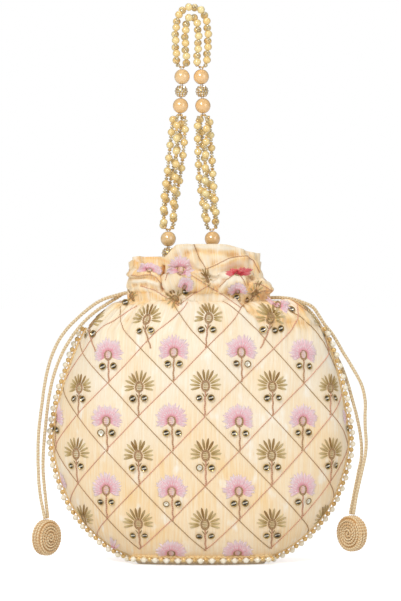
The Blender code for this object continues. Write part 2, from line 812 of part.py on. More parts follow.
def slit_points(end, side, level):
    """The way from the tunnel out through the slit at one end, beside the other strand."""
    beside = side * (CORD_DIAMETER / 2 + CLEARANCE)
    wall = NECK_SHIFT + end * NECK_HALF_WIDTH
    inner = wall - end * (PANEL_THICKNESS + TUNNEL_GAP / 2 - SLIT_PLAY / 2)
    return [
        Vector((inner, side * (SLIT_HALF_WIDTH + SLIT_PLAY), level)),
        Vector((inner + end * SLIT_PLAY * 3, beside * SLIT_SPLAY, level)),
        Vector((wall + end * CORD_DIAMETER / 2, beside, level)),
    ]


def build_drawstring(name, end, level, outer, inner, disc, material, collection):
    """One cord: from the disc up to the slit, round the whole neck and back down to the disc."""
    backwards = end > 0
    start, stop = disc_top(disc, end * DISC_CORD_OFFSET), disc_top(disc, -end * DISC_CORD_OFFSET)
    slit_front, slit_back = slit_points(end, FRONT, level), slit_points(end, BACK, level)
    up = smooth_path([slit_front[-1], *[Vector(p) for p in outer], start], CORD_POINT_STEP)
    down = smooth_path([slit_back[-1], *[Vector(p) for p in inner], stop], CORD_POINT_STEP)
    around = tunnel_points(FRONT, level, backwards)[1:] + tunnel_points(BACK, level, not backwards)[:-1]
    points = [*reversed(up), *slit_front[1::-1], *around, *slit_back[:2], *down]
    radii = [CORD_DIAMETER / 2] * len(points)
    return add_tube(name, points, radii, 2, material, collection)


def build_disc(name, disc, material, collection):
    """A round button wound from cord, turned about its own axis."""
    radius, half = DISC_DIAMETER / 2, DISC_THICKNESS / 2
    bm = bmesh.new()
    face, face_height = radius * DISC_FACE_RADIUS, half - DISC_DOME * DISC_FACE_FALL
    edge, edge_height = radius - half * DISC_EDGE_ROUND, half - DISC_DOME
    shape = (
        (0.0, half),
        (face, face_height),
        (edge, edge_height),
        (radius, 0.0),
        (edge, -edge_height),
        (face, -face_height),
        (0.0, -half),
    )
    outline = [bm.verts.new((x, 0, z)) for x, z in shape]
    for a, b in zip(outline, outline[1:]):
        bm.edges.new((a, b))
    mesh = bpy.data.meshes.new(name)
    bm.to_mesh(mesh)
    bm.free()
    item = add_object(name, mesh, material, collection, disc[0])
    turn = radians(disc[1])
    item.rotation_mode = "QUATERNION"
    item.rotation_quaternion = Vector((sin(turn), -cos(turn), 0)).to_track_quat("Z", "Y")
    add_turn(item, DISC_TURN_STEPS)
    return item


def main():
    for item in list(bpy.data.objects):
        bpy.data.objects.remove(item)
    parts = new_collection("potli_bag")
    cloth = make_material("embroidered_silk", (0.87, 0.70, 0.47), 0.5)
    inside = make_material("lining_satin", (0.85, 0.74, 0.58), 0.6)
    trim = make_material("edging_beads", (0.80, 0.68, 0.42), 0.3, 0.2)
    braid = make_material("gold_braid", (0.72, 0.58, 0.38), 0.5, 0.3)
    small = make_material("golden_pearl", (0.86, 0.66, 0.33), 0.3)
    big = make_material("peach_pearl", (0.93, 0.73, 0.45), 0.2)
    crystal = make_material("crystal", (0.80, 0.76, 0.66), 0.1, 0.3)
    thread = make_material("thread", (0.80, 0.72, 0.58), 0.8)
    build_front_panel(cloth, parts)
    build_back_panel(cloth, parts)
    build_lining(inside, parts)
    build_edging(trim, parts)
    line_data = handle_line()
    for number in range(STRANDS):
        build_strand(number, line_data, small, parts)
    for name, centre, direction, size, _ in line_data[3]:
        build_big_bead(name, centre, direction, size, big if "pearl" in name else crystal, parts)
    build_knot("knot_left", KNOT_LEFT_ANGLE, thread, parts)
    build_knot("knot_right", KNOT_RIGHT_ANGLE, thread, parts)
    upper, lower = NECK_HEIGHT + LEVEL_HEIGHT / 2, NECK_HEIGHT - LEVEL_HEIGHT / 2
    build_drawstring("drawstring_left", -1, upper, LEFT_OUTER, LEFT_INNER, LEFT_DISC, braid, parts)
    build_drawstring("drawstring_right", 1, lower, RIGHT_OUTER, RIGHT_INNER, RIGHT_DISC, braid, parts)
    build_disc("end_disc_left", LEFT_DISC, braid, parts)
    build_disc("end_disc_right", RIGHT_DISC, braid, parts)


main()
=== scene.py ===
"""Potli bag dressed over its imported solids: silk, embroidery, beads, braided cords.

Metres, +Z up, front towards -Y, in the frame of the solids.
"""

import random
from math import asin, cos, pi, radians, sin, sqrt

import bmesh
import bpy
import numpy as np
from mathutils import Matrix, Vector
from mathutils.bvhtree import BVHTree


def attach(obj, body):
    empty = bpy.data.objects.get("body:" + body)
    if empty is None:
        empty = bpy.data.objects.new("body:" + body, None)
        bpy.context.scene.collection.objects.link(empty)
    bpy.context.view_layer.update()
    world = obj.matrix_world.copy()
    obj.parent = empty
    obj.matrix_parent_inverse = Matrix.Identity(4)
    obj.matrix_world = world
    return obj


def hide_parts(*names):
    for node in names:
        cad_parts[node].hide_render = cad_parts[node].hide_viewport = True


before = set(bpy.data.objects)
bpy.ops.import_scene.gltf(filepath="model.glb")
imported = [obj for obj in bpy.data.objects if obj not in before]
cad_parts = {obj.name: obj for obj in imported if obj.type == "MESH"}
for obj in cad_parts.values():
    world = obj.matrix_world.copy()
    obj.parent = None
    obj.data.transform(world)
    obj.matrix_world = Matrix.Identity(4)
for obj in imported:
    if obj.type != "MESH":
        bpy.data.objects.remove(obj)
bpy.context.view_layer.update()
random.seed(7)
FRONT, BACK = -1, 1

# Sizes of the solids that the dressing follows
CLEARANCE = 0.0003
LINING_GAP = 0.0005
BELLY_HALF_WIDTH = 0.110
BELLY_HALF_DEPTH = 0.050
NECK_HEIGHT = 0.200
NECK_HALF_WIDTH = 0.053
NECK_HALF_DEPTH = 0.031
NECK_SHIFT = -0.002
NECK_PINCH = 0.0052
PINCH_RISE = 0.0160
PINCH_SHIFT_SHARE = 0.35
PINCH_DEPTH_SHARE = 0.18
PANEL_THICKNESS = 0.0012
LINING_THICKNESS = 0.0008
SEAM_LIFT = 0.0065
FRILL_LEFT_TOP = 0.0295
FRILL_RIGHT_TOP = 0.0390
FRILL_BACK_TOP = 0.0250
FRILL_RIGHT_FALL = 0.0075
FALL_START = 0.45
FALL_END = 1.05
FRILL_BACK_FLARE = 0.0060
FRILL_LEFT_FALL = 0.0040
FRONT_FOOT_REACH = 0.08
FRONT_EDGE_REACH = 0.33
BACK_WALL_REACH = 0.6
EDGE_LEAN = 0.0040
BACK_LEAN_SHARE = 0.6
LINING_COLLAR = 0.0120
LINING_EASE = 0.0004
CORD_DIAMETER = 0.0028
TUNNEL_PLAY = 0.0008
SLIT_PLAY = 0.0004
SLIT_SPLAY = 1.1
DISC_DIAMETER = 0.0275
DISC_THICKNESS = 0.0085
DISC_PITCH = 0.00225
DISC_PLY = DISC_PITCH / 2
DISC_DOME = 0.0011
DISC_START = 0.0004
RIM_TURNS = 72
EDGE_PEARL_DIAMETER = 0.0042
EDGE_GOLD_DIAMETER = 0.0037
EDGE_PITCH = 0.0084
EDGE_PEARL_REACH = 0.0040
EDGE_GOLD_LIFT = 0.0013
EDGE_SEED_SHARES = (0.42, 0.58)
EDGE_SEED_SIZE = (0.0015, 0.0015, 0.0012)
SEAM_RIDGE_REACH = 0.0004
RIDGE_POINTS = 160
HANDLE_HEIGHT = 0.420
STRANDS = 4
STRAND_SPREAD = 0.0052
STRAND_PEARL_DIAMETER = 0.0056
STRAND_PEARL_PITCH = 0.0098
PEARL_SHIFTS = (0.0, 0.25, 0.75, 0.5)
SEED_BEAD_DIAMETER = 0.0025
BEAD_FACE_SHARE = 0.92
PEARL_SWELL = 1.05
PEARL_SQUASH = 0.96
SEED_SWELL = 1.24
SEED_SQUASH = 0.68
SEED_PACKING = 0.86
SEED_OVERRUN = 0.0006
SEED_START = 0.0026
NECK_SEED_REACH = 0.0013
NECK_SEED_DIAMETER = 0.0020
NECK_SEED_SQUASH = 0.85
THREAD_STRIDE = 6
BORE_EXIT = 0.0005
SPREAD_LENGTH = 0.0040
THREAD_OFFSET = 0.0008
LEG_TWIST = 100.0
BORE_DIAMETER = 0.0032
BIG_PEARL_DIAMETER = 0.0116
CRYSTAL_BALL_DIAMETER = 0.010
STONE_RINGS = ((38, 8), (64, 12), (90, 14), (116, 12), (142, 8))
STONE_SEAT = (0.455, (0.00205, 0.00205, 0.0022))
PRONG_SEAT = (0.462, (0.0010, 0.0010, 0.0010))
KNOT_DIAMETER = 0.0044
KNOT_RISE = 0.0059
MOUTH_RISE = 0.0325
STACK_DROP = 0.0664
KNOT_LEFT_ANGLE = 60.0
KNOT_RIGHT_ANGLE = 105.0
TOP_HALF_SPAN = 0.0074
TOP_CENTRE = -0.0070
STACK_LEFT = -0.0149
STACK_RIGHT = 0.0008
STACK_LEAN = 0.0006
MOUTH_LEFT = -0.0248
MOUTH_RIGHT = 0.0086
LEFT_LEG = ((-0.0236, 0.260), (-0.0200, 0.475), (-0.0175, 0.699))
RIGHT_LEG = ((0.0066, 0.206), (0.0042, 0.385), (0.0026, 0.654))
LEVEL_HEIGHT = CORD_DIAMETER + 2 * SLIT_PLAY
SLIT_HALF_WIDTH = CORD_DIAMETER + CLEARANCE / 2 + SLIT_PLAY
TUNNEL_GAP = CORD_DIAMETER + 2 * TUNNEL_PLAY
TUNNEL_LOW = NECK_HEIGHT - LEVEL_HEIGHT
TUNNEL_HIGH = NECK_HEIGHT + LEVEL_HEIGHT
KNOT_HEIGHT = TUNNEL_HIGH + KNOT_RISE
MOUTH_HEIGHT = KNOT_HEIGHT + MOUTH_RISE
STACK_HEIGHT = HANDLE_HEIGHT - STACK_DROP
PEARL_RIM = sqrt(BIG_PEARL_DIAMETER**2 - BORE_DIAMETER**2) / 2
BALL_RIM = sqrt(CRYSTAL_BALL_DIAMETER**2 - BORE_DIAMETER**2) / 2
BEAD_STEP = PEARL_RIM + BALL_RIM + 2 * CLEARANCE
DISC_CORD_OFFSET = CORD_DIAMETER / 2 + CLEARANCE
PATH_STEP = 0.0003
CURVE_STEPS = 24
TOP_BEND_STEPS = 6
CORD_POINT_STEP = 0.0085
PLEAT_COLUMNS = 6
LEFT_DISC = ((-0.1158, -0.0090, 0.0188), 52.0)
RIGHT_DISC = ((0.1132, -0.0036, 0.0214), -48.0)
LEFT_OUTER = (
    (-0.0745, -0.0030, 0.1965),
    (-0.0908, -0.0050, 0.1845),
    (-0.1035, -0.0055, 0.1710),
    (-0.1121, -0.0060, 0.1538),
    (-0.1165, -0.0065, 0.1365),
    (-0.1190, -0.0070, 0.1192),
    (-0.1215, -0.0080, 0.0975),
    (-0.1219, -0.0090, 0.0735),
    (-0.1205, -0.0097, 0.0520),
)
LEFT_INNER = (
    (-0.0683, 0.0005, 0.1950),
    (-0.0840, -0.0035, 0.1838),
    (-0.0953, -0.0055, 0.1710),
    (-0.1035, -0.0055, 0.1575),
    (-0.1103, -0.0055, 0.1402),
    (-0.1140, -0.0055, 0.1230),
    (-0.1165, -0.0055, 0.1020),
    (-0.1180, -0.0060, 0.0848),
    (-0.1183, -0.0068, 0.0690),
    (-0.1168, -0.0076, 0.0520),
)
RIGHT_OUTER = (
    (0.0650, 0.0015, 0.1978),
    (0.0760, 0.0040, 0.1948),
    (0.0860, 0.0045, 0.1893),
    (0.0905, 0.0045, 0.1810),
    (0.0980, 0.0040, 0.1718),
    (0.1065, 0.0040, 0.1575),
    (0.1147, 0.0010, 0.1440),
    (0.1211, -0.0020, 0.1312),
    (0.1232, -0.0040, 0.1192),
    (0.1228, -0.0050, 0.1058),
    (0.1237, -0.0050, 0.0930),
    (0.1237, -0.0050, 0.0848),
    (0.1205, -0.0050, 0.0675),
    (0.1168, -0.0050, 0.0510),
)
RIGHT_INNER = (
    (0.0655, 0.0065, 0.1975),
    (0.0765, 0.0095, 0.1925),
    (0.0868, 0.0100, 0.1820),
    (0.0935, 0.0100, 0.1700),
    (0.0990, 0.0090, 0.1580),
    (0.1028, 0.0080, 0.1522),
    (0.1095, 0.0055, 0.1365),
    (0.1140, 0.0040, 0.1208),
    (0.1178, 0.0015, 0.1058),
    (0.1200, 0.0000, 0.0930),
    (0.1206, -0.0010, 0.0800),
    (0.1180, -0.0015, 0.0660),
    (0.1150, -0.0020, 0.0510),
)
BODY_RINGS = (
    (0.000, 0.430, 0.47, -0.23, 0.0),
    (SEAM_LIFT / NECK_HEIGHT, 0.475, 0.56, -0.28, 0.0),
    (0.060, 0.590, 0.68, -0.19, 0.0),
    (0.098, 0.690, 0.78, -0.11, 0.0),
    (0.150, 0.790, 0.86, -0.05, 0.0),
    (0.225, 0.885, 0.93, -0.01, 0.0),
    (0.325, 0.958, 0.98, 0.0, 0.0),
    (0.440, 1.000, 1.00, 0.0, 0.0),
    (0.565, 0.977, 0.98, 0.0, 0.0),
    (0.690, 0.925, 0.93, 0.0, 0.001),
    (0.795, 0.862, 0.86, 0.0, 0.0015),
    (0.875, 0.795, 0.79, 0.0, 0.002),
    (0.933, 0.710, 0.73, 0.0, 0.003),
)
SHOULDER_RING = (0.970, 0.620, 0.67, 0.0, 0.002)
EDGING_TOP_RING = 11
FRONT_PLEATS = (
    (0.0, 61.0, 0.0150, 0.0035),
    (61.0, 101.0, 0.0150, 0.0080),
    (101.0, 145.0, 0.0130, 0.0070),
    (145.0, 180.0, 0.0080, 0.0045),
)
BACK_PLEATS = (
    (0.0, 45.0, 0.0100, 0.0030),
    (45.0, 90.0, 0.0110, 0.0035),
    (90.0, 135.0, 0.0110, 0.0035),
    (135.0, 180.0, 0.0100, 0.0030),
)
VALLEY_RISE = 0.0060
PUFF_ROWS = ((0.80, 0.30), (1.00, 0.62), (0.78, 0.93), (0.08, 1.00))

# The photograph's scale and view
PIXEL = 0.00075
MIDDLE_PIXEL = 201.0
FLOOR_PIXEL = 562.0
FRAME_HEIGHT = 601 * PIXEL
CAMERA_DISTANCE = 2.2
CAMERA_TILT = radians(2.0)

# Cloth grid: columns across a panel, fine rows in each span between two rings
CLOTH_COLUMNS = 216
BODY_SPAN_ROWS = 8
NECK_SPAN_ROWS = 3
PUFF_SPAN_ROWS = 6
WALL_SPAN_ROWS = 12

# Embroidery: flat pitch of the lattice, and the flowers' sizes
LATTICE_PITCH = 0.0495
LATTICE_RISE = 0.0514
LATTICE_OFFSET = 0.0030
LATTICE_LEVEL = 0.0868
LATTICE_DROOP = 0.0050
COUCHED_PLY = 0.00023
COUCHED_TWIST = 0.0026
SEQUIN_DIAMETER = 0.0054
FLOWER_DROP = 0.0034
STEM_START = 0.0044
PETAL_HEIGHT = 0.00075
HEART_HALF_WIDTH = 0.0031
HEART_HALF_HEIGHT = 0.0042
HEART_TURNS = 14
RUNG_START = 0.0026
RUNG_STEP = 0.0013
RUNG_HALF_WIDTH = 0.0024
RUNG_REACH = 0.0038
SEQUIN_ASIDE = 0.0043
SEQUIN_BELOW = 0.0089
FRILL_GOLD_PETALS = 8
# Each flower: half fan in degrees, then its petals' root, tip, unevenness and width
FLOWER_FORMS = {
    "pink": (116.0, 0.0031, 0.0113, 0.0013, 0.0023),
    "gold": (103.0, 0.0042, 0.0114, 0.0005, 0.0024),
}


def smoothstep(low, high, value):
    t = np.clip((value - low) / (high - low), 0.0, 1.0)
    return t * t * (3 - 2 * t)


def photo_place(across, down):
    """A place on the photograph as X and Z in metres."""
    return (across - MIDDLE_PIXEL) * PIXEL, (FLOOR_PIXEL - down) * PIXEL


def tone(red, green, blue):
    """A colour as it looks on screen, turned to the linear values that shaders take."""
    values = []
    for level in (red, green, blue):
        share = level / 255
        values.append(share / 12.92 if share <= 0.04045 else ((share + 0.055) / 1.055) ** 2.4)
    return (*values, 1.0)


# Node trees


class Wire:
    """A socket that takes part in sums: each operator adds its Math node."""

    def __init__(self, nodes, socket):
        self.nodes = nodes
        self.socket = socket

    def math(self, operation, *others, clamp=False):
        sockets = dict(enumerate((self, *others)))
        return self.nodes.wire("ShaderNodeMath", {"operation": operation, "use_clamp": clamp}, sockets)

    def __add__(self, other):
        return self.math("ADD", other)

    def __sub__(self, other):
        return self.math("SUBTRACT", other)

    def __rsub__(self, other):
        return self.nodes.wire("ShaderNodeMath", {"operation": "SUBTRACT"}, {0: other, 1: self})

    def __mul__(self, other):
        return self.math("MULTIPLY", other)

    def __truediv__(self, other):
        return self.math("DIVIDE", other)

    __radd__ = __add__
    __rmul__ = __mul__

    def within(self, low, high):
        """0 below low, 1 above high, smooth between."""
        settings = {"interpolation_type": "SMOOTHSTEP"}
        return self.nodes.wire("ShaderNodeMapRange", settings, {0: self, 1: low, 2: high, 3: 0.0, 4: 1.0})


class Nodes:
    """One node tree: add() makes a node from its type, its settings and what its sockets take."""

    def __init__(self, tree):
        self.tree = tree

    def add(self, kind, settings=None, sockets=None):
        node = self.tree.nodes.new(kind)
        for key, value in (settings or {}).items():
            if key == "stops":
                self.fill_ramp(node.color_ramp, value)
            else:
                setattr(node, key, value)
        for key, value in (sockets or {}).items():
            if isinstance(value, Wire):
                value = value.socket
            if isinstance(value, bpy.types.NodeSocket):
                self.tree.links.new(value, node.inputs[key])
            else:
                node.inputs[key].default_value = value
        return node

    def fill_ramp(self, ramp, stops):
        while len(ramp.elements) < len(stops):
            ramp.elements.new(0.5)
        for element, (place, colour) in zip(ramp.elements, stops):
            element.position = place
            element.color = colour

    def wire(self, kind, settings=None, sockets=None, which=0):
        return Wire(self, self.add(kind, settings, sockets).outputs[which])

    def mix(self, share, first, second, blend="MIX"):
        settings = {"data_type": "RGBA", "blend_type": blend}
        return self.wire("ShaderNodeMix", settings, {0: share, 6: first, 7: second}, 2)

    def noise(self, place, scale, stretch=(1, 1, 1), detail=2.0, which="Fac"):
        if stretch != (1, 1, 1):
            place = self.wire("ShaderNodeMapping", None, {"Vector": place, "Scale": stretch})
        sockets = {"Vector": place, "Scale": scale, "Detail": detail}
        return self.wire("ShaderNodeTexNoise", None, sockets, which)

    def attribute(self, name):
        return self.wire("ShaderNodeAttribute", {"attribute_name": name}, None, "Fac")

    def place(self):
        return self.wire("ShaderNodeTexCoord", None, None, "Object")

    def flat_place(self, name):
        return self.wire("ShaderNodeUVMap", {"uv_map": name})

    def bump(self, height, distance, strength=1.0):
        sockets = {"Height": height, "Distance": distance, "Strength": strength}
        return self.wire("ShaderNodeBump", None, sockets)


def finish(name, paint, **fixed):
    """A material: fixed shader values, and a paint function that wires what changes over the surface."""
    material = bpy.data.materials.new(name)
    material.use_nodes = True
    nodes = Nodes(material.node_tree)
    shader = material.node_tree.nodes["Principled BSDF"]
    for key, value in fixed.items():
        shader.inputs[key.replace("_", " ")].default_value = value
    for key, value in paint(nodes).items():
        material.node_tree.links.new(value.socket, shader.inputs[key])
    return material


def silk_paint(nodes):
    """Slubbed silk: upright slubs, painted cream sheen in patches, painted honey and deep brown shade in the
    creases and along the front's fold lines, and honey towards the base.
    """
    flat = nodes.flat_place("cloth")
    slub = nodes.noise(flat, 1.0, (70.0, 3.2, 1.0), 3.0)
    thread = nodes.noise(flat, 1.0, (260.0, 14.0, 1.0), 2.0)
    cross = nodes.noise(flat, 1.0, (9.0, 210.0, 1.0), 1.0)
    # Painted sheen: pale patches laid over the silk as highlights.
    painted_sheen = nodes.noise(flat, 1.0, (9.0, 5.0, 1.0), 3.0).within(0.56, 0.70)
    cloud = nodes.noise(flat, 1.0, (2.3, 1.6, 1.0), 2.0)
    hollow = nodes.attribute("hollow")
    warmth = nodes.attribute("warmth")
    # Painted light: honey, strong gold and deep brown where creases and the front's fold lines lie in shade,
    # and paler where fold values below zero paint highlights; the cloud and the height give the silk's own
    # honey tone.
    honey = (warmth + (cloud - 0.5) * 1.3 + hollow * 0.7).math("ADD", 0.0, clamp=True)
    base = nodes.mix(honey, tone(249, 235, 209), tone(248, 210, 146))
    fold_shade = nodes.mix(warmth.within(0.9, 1.8), base, tone(246, 186, 98))
    depth = hollow.within(0.35, 1.0) * 0.45 + warmth.within(2.0, 3.0) * 0.8
    deep = nodes.mix(depth, fold_shade, tone(206, 138, 62))
    streak = slub.within(0.35, 0.7)
    light = nodes.mix(streak * 0.38 + painted_sheen * 0.5, deep, tone(255, 248, 234))
    shade = nodes.mix(thread.within(0.5, 0.85) * 0.34, light, tone(228, 190, 134), "MULTIPLY")
    height = slub * 0.6 + thread * 0.35 + cross * 0.2
    return {
        "Base Color": shade,
        "Roughness": 0.50 - streak * 0.14,
        "Normal": nodes.bump(height, 0.00035, 0.6),
    }


def satin_paint(nodes):
    flat = nodes.flat_place("cloth")
    thread = nodes.noise(flat, 1.0, (220.0, 12.0, 1.0), 2.0)
    colour = nodes.mix(thread, tone(238, 220, 190), tone(250, 236, 212))
    return {"Base Color": colour, "Normal": nodes.bump(thread, 0.0002, 0.5)}


def stitch_paint(root, tip, glint, groove_shade):
    """Satin stitch: threads side by side along each petal, from the root's tone to the tip's, some petals
    mixed towards a painted glint tone, and painted shade between the threads.
    """

    def paint(nodes):
        along, across, shade = (nodes.attribute(name) for name in ("along", "across", "shade"))
        wave = (across * 26.0 + along * 3.0).math("SINE") * 0.5 + 0.5
        fibre = nodes.noise(nodes.place(), 2600.0, detail=1.0)
        colour = nodes.mix(along.within(0.1, 0.9), root, tip)
        varied = nodes.mix(shade, colour, glint)
        lined = nodes.mix((1.0 - wave) * 0.4 + fibre * 0.2, varied, groove_shade, "MULTIPLY")
        return {"Base Color": lined, "Normal": nodes.bump(wave + fibre * 0.4, 0.00012, 0.8)}

    return paint


def cord_paint(light, dark, groove_shade, pitch, depth=0.35):
    """Wound thread: fine slanting turns along each ply, with painted shade between the turns."""

    def paint(nodes):
        run, shade = nodes.attribute("run"), nodes.attribute("shade")
        turn = (run * (2 * pi / pitch)).math("SINE") * 0.5 + 0.5
        fibre = nodes.noise(nodes.place(), 1900.0, detail=1.0)
        body = nodes.mix(shade, light, dark)
        colour = nodes.mix(turn * depth + fibre * 0.25, body, groove_shade, "MULTIPLY")
        return {"Base Color": colour, "Normal": nodes.bump(turn + fibre * 0.5, 0.0001, 0.7)}

    return paint


def pearl_paint(light, deep):
    """Lustrous bead: soft clouds of two tones, each bead a little different."""

    def paint(nodes):
        cloud = nodes.noise(nodes.place(), 160.0, detail=2.0)
        grain = nodes.noise(nodes.place(), 900.0, detail=1.0)
        colour = nodes.mix(cloud * 0.5 + nodes.attribute("shade") * 0.5, light, deep)
        return {"Base Color": colour, "Roughness": 0.27 + grain * 0.10}

    return paint


def sequin_paint(nodes):
    """A cupped mirror sequin with a painted reflection, dark on both sides of a white bar (all white on a
    few), in a pale gold rim.
    """
    out, across, shade = (nodes.attribute(name) for name in ("along", "across", "shade"))
    flip = shade.math("GREATER_THAN", 0.55) * 2.0 - 1.0
    # Painted reflection: dark on both sides of a white bar, and no dark on a few sequins.
    bar = across * flip - 0.06
    dark = (bar * bar).within(0.012, 0.05) * shade.math("LESS_THAN", 0.93)
    inside = (1.0 - out.within(0.64, 0.78)) * out.within(0.10, 0.18)
    painted_reflection = nodes.mix(dark, tone(255, 250, 232), tone(44, 30, 14))
    rim = nodes.mix(shade, tone(206, 172, 98), tone(158, 124, 62))
    return {"Base Color": nodes.mix(inside, rim, painted_reflection), "Roughness": 0.22 + inside * 0.1}


def gold_paint(bright, dark):
    def paint(nodes):
        spots = nodes.noise(nodes.place(), 620.0, detail=2.0)
        worn = nodes.mix(spots.within(0.35, 0.75) * nodes.attribute("shade"), bright, dark)
        return {"Base Color": worn, "Roughness": 0.16 + spots * 0.2}

    return paint


def stone_paint(nodes):
    """Cut stones: a painted reflection on each facet, flashing white, silver or dark."""
    flash = nodes.wire("ShaderNodeTexVoronoi", None, {"Vector": nodes.place(), "Scale": 1300.0}, "Color")
    share = nodes.wire("ShaderNodeSeparateColor", None, {0: flash})
    stops = [(0.0, tone(96, 80, 56)), (0.25, tone(236, 220, 184)), (0.6, tone(255, 253, 246))]
    colour = nodes.wire("ShaderNodeValToRGB", {"stops": stops}, {0: share})
    return {"Base Color": colour, "Roughness": 0.05 + share * 0.12}


def floor_paint(nodes):
    grain = nodes.noise(nodes.place(), 30.0, detail=2.0)
    return {"Base Color": nodes.mix(grain * 0.3, tone(250, 250, 250), tone(244, 244, 244))}


# Meshes


def mesh_object(name, points, faces, edges=()):
    mesh = bpy.data.meshes.new(name)
    mesh.from_pydata([tuple(p) for p in points], list(edges), list(faces))
    item = bpy.data.objects.new(name, mesh)
    bpy.context.scene.collection.objects.link(item)
    return item


def write_attribute(mesh, name, values, kind="FLOAT"):
    layer = mesh.attributes.new(name, kind, "POINT")
    field = "value" if kind == "FLOAT" else "vector"
    layer.data.foreach_set(field, np.asarray(values, np.float32).ravel())


def plain_mesh(item):
    """The evaluated object as a plain mesh, with its modifiers gone."""
    evaluated = item.evaluated_get(bpy.context.evaluated_depsgraph_get())
    mesh = bpy.data.meshes.new_from_object(evaluated)
    item.modifiers.clear()
    old, item.data = item.data, mesh
    bpy.data.meshes.remove(old)
    mesh.name = item.name
    return item


def new_group(name, inputs):
    """An empty geometry tree with named inputs, its input node and its output node."""
    tree = bpy.data.node_groups.new(name, "GeometryNodeTree")
    tree.interface.new_socket("Geometry", in_out="INPUT", socket_type="NodeSocketGeometry")
    for label, kind in inputs:
        tree.interface.new_socket(label, in_out="INPUT", socket_type=kind)
    tree.interface.new_socket("Geometry", in_out="OUTPUT", socket_type="NodeSocketGeometry")
    nodes = Nodes(tree)
    return nodes, nodes.add("NodeGroupInput"), nodes.add("NodeGroupOutput")


def named(nodes, name, kind):
    return nodes.wire("GeometryNodeInputNamedAttribute", {"data_type": kind}, {"Name": name})


def scatter_group():
    """Stands a copy of the stamp on each point, by the point's own facing, heading and size."""
    inputs = [("Stamp", "NodeSocketObject"), ("Finish", "NodeSocketMaterial")]
    nodes, start, end = new_group("scatter", inputs)
    stamp = nodes.wire("GeometryNodeObjectInfo", None, {"Object": start.outputs["Stamp"]}, "Geometry")
    facing = named(nodes, "facing", "FLOAT_VECTOR")
    heading = named(nodes, "heading", "FLOAT_VECTOR")
    settings = {"primary_axis": "Z", "secondary_axis": "X"}
    turn = nodes.wire("FunctionNodeAxesToRotation", settings, {0: facing, 1: heading})
    size = named(nodes, "size", "FLOAT_VECTOR")
    sockets = {"Points": start.outputs["Geometry"], "Instance": stamp, "Rotation": turn, "Scale": size}
    copies = nodes.wire("GeometryNodeInstanceOnPoints", None, sockets)
    real = nodes.wire("GeometryNodeRealizeInstances", None, {"Geometry": copies})
    painted = {"Geometry": real, "Material": start.outputs["Finish"]}
    nodes.tree.links.new(nodes.wire("GeometryNodeSetMaterial", None, painted).socket, end.inputs[0])
    return nodes.tree


def plied_group():
    """Winds plies round each line of points: all one way for a twist, both ways for a braid."""
    inputs = [
        ("Finish", "NodeSocketMaterial"),
        ("Plies", "NodeSocketInt"),
        ("Ply radius", "NodeSocketFloat"),
        ("Lay radius", "NodeSocketFloat"),
        ("Turn length", "NodeSocketFloat"),
        ("Braid", "NodeSocketFloat"),
        ("Weave depth", "NodeSocketFloat"),
        ("Step", "NodeSocketFloat"),
        ("Sides", "NodeSocketInt"),
    ]
    nodes, start, end = new_group("plied cord", inputs)
    put = {label: Wire(nodes, start.outputs[label]) for label, _ in inputs}
    line = nodes.wire("GeometryNodeMeshToCurve", None, {"Mesh": start.outputs["Geometry"]})
    spaced = {"Curve": line, "Length": put["Step"]}
    even = nodes.wire("GeometryNodeResampleCurve", {"mode": "LENGTH"}, spaced)
    repeated = {"Geometry": even, "Amount": put["Plies"]}
    copy_node = nodes.add("GeometryNodeDuplicateElements", {"domain": "SPLINE"}, repeated)
    copies, number = Wire(nodes, copy_node.outputs[0]), Wire(nodes, copy_node.outputs[1])
    run = nodes.wire("GeometryNodeSplineParameter", None, None, "Length")
    odd = number.math("MODULO", 2.0)
    way = 1.0 - odd * put["Braid"] * 2.0
    pair = (number / 2.0).math("FLOOR")
    twist_start = number / put["Plies"] * (2 * pi)
    braid_start = pair * (4 * pi) / put["Plies"]
    begin = twist_start + (braid_start - twist_start) * put["Braid"]
    phase = run / put["Turn length"] * (2 * pi)
    angle = phase * way + begin
    lift = (phase * put["Plies"] / 2.0).math("COSINE") * way * put["Braid"] * put["Weave depth"]
    reach = put["Lay radius"] + lift
    normal = nodes.wire("GeometryNodeInputNormal")
    tangent = nodes.wire("GeometryNodeInputTangent")
    side = nodes.wire("ShaderNodeVectorMath", {"operation": "CROSS_PRODUCT"}, {0: tangent, 1: normal})
    first = {0: normal, "Scale": angle.math("COSINE") * reach}
    second = {0: side, "Scale": angle.math("SINE") * reach}
    out = nodes.wire("ShaderNodeVectorMath", {"operation": "SCALE"}, first)
    across = nodes.wire("ShaderNodeVectorMath", {"operation": "SCALE"}, second)
    offset = nodes.wire("ShaderNodeVectorMath", {"operation": "ADD"}, {0: out, 1: across})
    kept = {"Geometry": copies, "Name": "run", "Value": run}
    marked = nodes.wire("GeometryNodeStoreNamedAttribute", {"data_type": "FLOAT", "domain": "POINT"}, kept)
    wound = nodes.wire("GeometryNodeSetPosition", None, {"Geometry": marked, "Offset": offset})
    circle = {"Resolution": put["Sides"], "Radius": put["Ply radius"]}
    profile = nodes.wire("GeometryNodeCurvePrimitiveCircle", {"mode": "RADIUS"}, circle)
    sockets = {"Curve": wound, "Profile Curve": profile, "Fill Caps": True}
    tube = nodes.wire("GeometryNodeCurveToMesh", None, sockets)
    smooth = nodes.wire("GeometryNodeSetShadeSmooth", None, {"Geometry": tube})
    real = nodes.wire("GeometryNodeRealizeInstances", None, {"Geometry": smooth})
    painted = {"Geometry": real, "Material": put["Finish"]}
    nodes.tree.links.new(nodes.wire("GeometryNodeSetMaterial", None, painted).socket, end.inputs[0])
    return nodes.tree


def run_group(item, tree, values):
    """Runs a geometry tree on an object and keeps the result as a plain mesh."""
    modifier = item.modifiers.new("Make", "NODES")
    modifier.node_group = tree
    for socket in tree.interface.items_tree:
        if socket.in_out == "INPUT" and socket.name in values:
            modifier[socket.identifier] = values[socket.name]
    item.update_tag()
    return plain_mesh(item)


